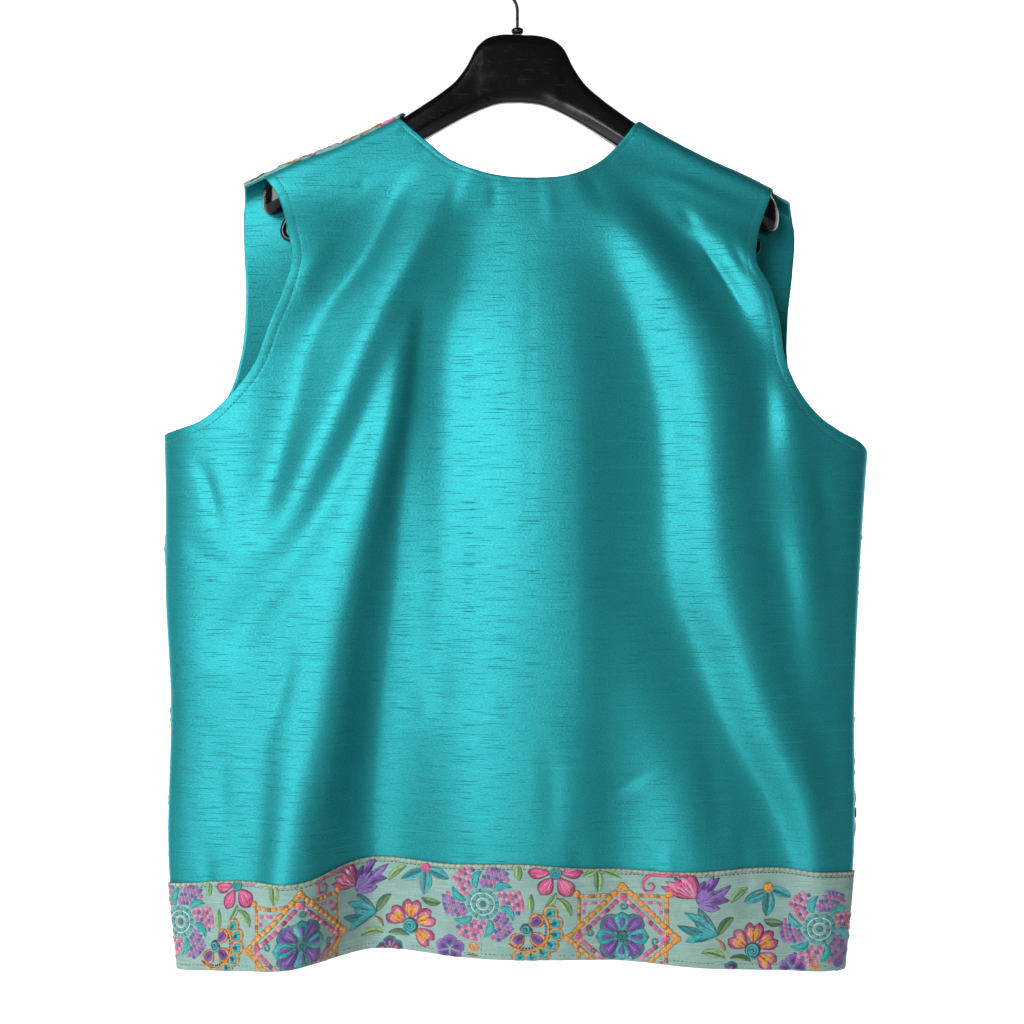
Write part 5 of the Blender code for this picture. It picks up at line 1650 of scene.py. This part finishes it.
def hanger_arms_points():
    """Sections across the arms as a grid (stations, round), from end to end."""
    outs = np.concatenate([np.linspace(0.0, 60.0, 31), np.linspace(62.0, 198.0, 50),
                           ARM_END - ARM_ROUND * (1.0 - np.sin(np.linspace(0.0, 1.0, 12)
                                                               * QUARTER))])
    outs = np.unique(np.round(outs, 4))
    outs = np.concatenate([-outs[:0:-1], outs])
    x = outs + HEAD_X
    top, bottom = arm_profile(x, "top"), arm_profile(x, "bottom")
    depth, bow = arm_profile(x, "half_depth"), arm_profile(x, "bow")
    into = np.clip(np.abs(outs) - (ARM_END - ARM_ROUND), 0.0, None) / (
        ARM_ROUND * END_BLUNTNESS)
    size = np.sqrt(1.0 - into ** 2)
    ridge, flank, corner = map(np.array, (RIDGE_SECTION, FLANK_SECTION, CORNER_SECTION))
    share = np.concatenate([ridge[:, 0], flank[:, 0], corner[:, 0]])
    flank_top, flank_bottom = top[:, None] - ARM_ROLL, bottom[:, None] + corner[0, 1]
    height = np.concatenate([
        top[:, None] - ridge[:, 1],
        flank_top * (1.0 - flank[:, 1]) + flank_bottom * flank[:, 1],
        bottom[:, None] + corner[:, 1]], axis=1)
    centre = ((top + bottom) / 2.0)[:, None]
    z = centre + (height - centre) * size[:, None]
    y = share * depth[:, None] * size[:, None]
    z = np.concatenate([z, z[:, :0:-1]], axis=1)
    y = np.concatenate([y, -y[:, :0:-1]], axis=1) + bow[:, None]
    return np.stack([np.broadcast_to(x[:, None], y.shape), y, z], axis=-1)


def closed_tube(rings):
    """Points and faces of a grid of closed rings, with a pole at each end."""
    count, sides = rings.shape[:2]
    corner = np.arange(count * sides).reshape(count, sides)
    turned = np.roll(corner, -1, axis=1)
    quads = np.stack([corner[:-1], turned[:-1], turned[1:], corner[1:]],
                     axis=-1).reshape(-1, 4)
    poles = np.stack([rings[0].mean(axis=0), rings[-1].mean(axis=0)])
    first = np.full(sides, count * sides)
    caps = [np.stack([first, turned[0], corner[0]], axis=-1),
            np.stack([first + 1, corner[-1], turned[-1]], axis=-1)]
    faces = quads.tolist() + caps[0].tolist() + caps[1].tolist()
    return np.concatenate([rings.reshape(-1, 3), poles]), faces


def rod_rings(path, radius, sides=20):
    """Rings round a path in a plane of constant y, their ends rounded.

    A ring point is the path's point plus the radius times the cosine of the angle along
    the path's normal and its sine along y. Near an end the radius shrinks as a circle.
    """
    path = np.asarray(path, dtype=float)
    slope = np.gradient(path, axis=0)
    slope /= np.linalg.norm(slope, axis=1, keepdims=True)
    normal = np.stack([-slope[:, 2], np.zeros(len(path)), slope[:, 0]], axis=-1)
    angle = np.linspace(0.0, 2.0 * math.pi, sides, endpoint=False)
    length = lengths(path)
    near = np.clip(1.0 - np.minimum(length, length[-1] - length) / radius, 0.0, 0.98)
    size = radius * np.sqrt(1.0 - near ** 2)
    ring = (normal[:, None] * np.cos(angle)[None, :, None]
            + np.array([0.0, 1.0, 0.0]) * np.sin(angle)[None, :, None])
    return path[:, None] + ring * size[:, None, None]


def hook_path():
    """Hook: straight stem, a bend to the left, then a round turn over the rail."""
    centre_z = WIRE_RADIUS - HOOK_RADIUS
    reach = HOOK_RADIUS + HOOK_BEND_RADIUS
    turn = math.acos((HOOK_BEND_RADIUS - STEM_X) / reach)
    bend_z = centre_z - reach * math.sin(turn)
    bend_x = STEM_X - HOOK_BEND_RADIUS
    lower = np.linspace(COLLAR_TOP + SEAM_GAP, bend_z - 2.0, 8)
    stem = np.stack([np.full(8, STEM_X), lower], axis=-1)
    bend = np.linspace(0.0, turn, 14)
    turned = np.stack([bend_x + HOOK_BEND_RADIUS * np.cos(bend),
                       bend_z + HOOK_BEND_RADIUS * np.sin(bend)], axis=-1)
    loop = np.linspace(math.pi + turn, HOOK_END_ANGLE, 60)[1:]
    looped = np.stack([HOOK_RADIUS * np.cos(loop), centre_z + HOOK_RADIUS * np.sin(loop)],
                      axis=-1)
    flat = even(np.concatenate([stem, turned, looped]), 0.9)
    return np.stack([flat[:, 0], np.zeros(len(flat)), flat[:, 1]], axis=-1)


def bar_path():
    """Trouser bar: a straight rod whose ends bulge out and turn up to the arms."""
    y = float(arm_profile(HEAD_X - BAR_OUT, "bow"))
    points = []
    bend = [(5.0, 0.0), (3.4, 5.0), (1.0, 9.5), (0.0, 13.5), (0.7, 17.1), (3.0, 19.8),
            (7.0, 21.1), (14.0, 21.5)]
    for side, offsets in ((-1.0, bend), (1.0, bend[::-1])):
        end_x = HEAD_X + side * BAR_OUT
        seat_z = float(arm_profile(end_x - side * bend[0][0], "bottom")) - BAR_SEAT
        points += [(end_x - side * inward, seat_z - down) for inward, down in offsets]
    count = len(bend)
    left = along(points[:count], np.linspace(0.0, 1.0, 30))
    right = along(points[count:], np.linspace(0.0, 1.0, 30))
    middle = even([left[-1], right[0]], 8.0)
    flat = even(np.concatenate([left, middle[1:-1], right]), 1.6)
    return np.stack([flat[:, 0], np.full(len(flat), y), flat[:, 1]], axis=-1)


def collar_rings():
    """Collar: a turned bead under the stem, its radius read along a smooth profile."""
    profile = [(0.3, 0.0), (0.62, 0.02), (0.86, 0.14), (1.0, 0.42), (0.97, 0.66),
               (0.8, 0.9), (0.55, 1.0)]
    radius, down = along(profile, np.linspace(0.0, 1.0, 18)).T
    radius = np.clip(radius, 0.0, 1.0) * COLLAR_RADIUS
    angle = np.linspace(0.0, 2.0 * math.pi, 40, endpoint=False)
    x = STEM_X + radius[:, None] * np.cos(angle)
    y = radius[:, None] * np.sin(angle)
    z = np.broadcast_to((COLLAR_TOP - np.clip(down, 0.0, 1.0) * COLLAR_HEIGHT)[:, None],
                        x.shape)
    return np.stack([x, y, z], axis=-1)


class WAISTCOAT_OT_hanger(bpy.types.Operator):
    """Make the moulded hanger, its trouser bar, collar and wire hook"""

    bl_idname = "waistcoat.hanger"
    bl_label = "Hanger"

    def execute(self, context):
        finish = context.scene.hanger_finish
        plastic = material_for(moulded_plastic, finish.plastic)
        wire = material_for(lacquered_wire, finish.wire)
        for name, rings, material, slot_name, node in (
                ("hanger_arms", hanger_arms_points(), plastic, "hanger_plastic",
                 "hanger_body"),
                ("trouser_bar", rod_rings(bar_path(), BAR_RADIUS), plastic,
                 "hanger_plastic", "hanger_bar"),
                ("hook_collar", collar_rings(), plastic, "hanger_plastic",
                 "hanger_collar"),
                ("wire_hook", rod_rings(hook_path(), WIRE_RADIUS), wire, "hook_wire",
                 "hanger_hook")):
            points, faces = closed_tube(rings)
            mesh = bpy.data.meshes.new(name)
            mesh.from_pydata((points * MM).tolist(), [], faces)
            mesh.materials.append(material)
            self.face_outward(mesh)
            mesh.shade_smooth()
            obj = bpy.data.objects.new(name, mesh)
            context.scene.collection.objects.link(obj)
            ride(obj, slot_name, node)
        return {"FINISHED"}

    def face_outward(self, mesh):
        """Turn all faces if the mesh's signed volume is negative."""
        mesh.calc_loop_triangles()
        corners = np.zeros(len(mesh.loop_triangles) * 3, dtype=np.int32)
        mesh.loop_triangles.foreach_get("vertices", corners)
        places = np.zeros(len(mesh.vertices) * 3)
        mesh.vertices.foreach_get("co", places)
        a, b, c = places.reshape(-1, 3)[corners].reshape(-1, 3, 3).transpose(1, 0, 2)
        if (np.cross(a, b) * c).sum() < 0.0:
            mesh.flip_normals()


# Stage, in metres: floor height, curve from the floor up to the wall, the wall's place, the
# camera's place, and each light's place, target, size and power in watts
FLOOR = -1.15
WALL_CURVE = 1.2
WALL_PLACE = 2.4
CAMERA_PLACE = (-0.004, -1.4, -0.462)
LIGHTS = [("key light", (-1.1, -1.95, -0.1), (0.0, 0.0, -0.5), 1.5, 74.0),
          ("front light", (-1.2, 2.3, 1.7), (0.0, 0.0, -0.5), 1.2, 40.0),
          ("left backdrop light", (-2.1, 0.9, -0.2), (-1.3, 2.4, -0.2), 1.3, 75.0),
          ("right backdrop light", (2.1, 0.9, -0.2), (1.3, 2.4, -0.2), 1.3, 75.0)]


class WAISTCOAT_OT_stage(bpy.types.Operator):
    """Make the pale floor and backdrop, the lights and the camera; show plain colours"""

    bl_idname = "waistcoat.stage"
    bl_label = "Stage"

    def execute(self, context):
        bend = np.linspace(0.0, QUARTER, 16)[1:]
        depth = np.concatenate([np.linspace(-4.0, WALL_PLACE - WALL_CURVE, 14),
                                WALL_PLACE - WALL_CURVE + WALL_CURVE * np.sin(bend),
                                np.full(8, WALL_PLACE)])
        height = np.concatenate([np.full(14, FLOOR),
                                 FLOOR + WALL_CURVE * (1.0 - np.cos(bend)),
                                 np.linspace(FLOOR + 1.4, 3.2, 8)])
        across = np.linspace(-5.0, 5.0, 24)
        x, y = np.meshgrid(across, depth)
        z = np.broadcast_to(height[:, None], x.shape)
        points = np.stack([x, y, z], axis=-1).reshape(-1, 3) / MM
        material, tree, shader = new_material("matt backdrop paper", Roughness=0.9)
        place = add_node(tree, "ShaderNodeTexCoord").outputs["Object"]
        mottle = add_node(tree, "ShaderNodeTexNoise", {"Vector": place, "Scale": 2.0})
        tint = mixed(tree, mottle.outputs["Fac"], (0.86, 0.86, 0.86, 1.0),
                     (0.9, 0.9, 0.9, 1.0))
        tree.links.new(tint, shader.inputs["Base Color"])
        new_piece("backdrop", points, grid_quads(*x.shape), material)
        for name, place, target, size, power in LIGHTS:
            light = bpy.data.lights.new(name, "AREA")
            light.size = size
            light.energy = power
            lamp = bpy.data.objects.new(name, light)
            lamp.location = place
            aim = Vector(target) - Vector(place)
            lamp.rotation_euler = aim.to_track_quat("-Z", "Y").to_euler()
            context.scene.collection.objects.link(lamp)
        world = bpy.data.worlds.new("studio")
        world.use_nodes = True
        background = world.node_tree.nodes["Background"]
        background.inputs["Color"].default_value = (1.0, 1.0, 1.0, 1.0)
        background.inputs["Strength"].default_value = 0.07
        context.scene.world = world
        context.scene.view_settings.view_transform = "Standard"
        camera = bpy.data.cameras.new("camera")
        camera.lens = 60.0
        camera.sensor_width = 36.0
        viewer = bpy.data.objects.new("camera", camera)
        viewer.location = CAMERA_PLACE
        viewer.rotation_euler = (QUARTER, 0.0, 0.0)
        context.scene.collection.objects.link(viewer)
        context.scene.camera = viewer
        return {"FINISHED"}


class WAISTCOAT_PT_panel(bpy.types.Panel):
    """Lists the pieces and their sizes and colours"""

    bl_label = "Embroidered waistcoat"
    bl_idname = "WAISTCOAT_PT_panel"
    bl_space_type = "VIEW_3D"
    bl_region_type = "UI"
    bl_category = "Waistcoat"

    def draw(self, context):
        scene = context.scene
        for group in (scene.waistcoat_finish, scene.hanger_finish):
            for name in group.__annotations__:
                self.layout.prop(group, name)
        for operator in OPERATORS:
            self.layout.operator(operator.bl_idname)


OPERATORS = (WAISTCOAT_OT_hanger, WAISTCOAT_OT_back, WAISTCOAT_OT_hem_band,
             WAISTCOAT_OT_fronts, WAISTCOAT_OT_stage)
CLASSES = (WaistcoatFinish, HangerFinish, *OPERATORS, WAISTCOAT_PT_panel)


def register():
    """Register the classes and hang the property groups on the scene."""
    for item in CLASSES:
        bpy.utils.register_class(item)
    bpy.types.Scene.waistcoat_finish = PointerProperty(type=WaistcoatFinish)
    bpy.types.Scene.hanger_finish = PointerProperty(type=HangerFinish)


def unregister():
    """Take the property groups and classes away again."""
    del bpy.types.Scene.waistcoat_finish
    del bpy.types.Scene.hanger_finish
    for item in reversed(CLASSES):
        bpy.utils.unregister_class(item)


def main():
    """Make every piece and the stage."""
    register()
    bpy.ops.waistcoat.hanger()
    bpy.ops.waistcoat.back()
    bpy.ops.waistcoat.hem_band()
    bpy.ops.waistcoat.fronts()
    bpy.ops.waistcoat.stage()
    bpy.context.view_layer.update()


if __name__ == "__main__":
    main()
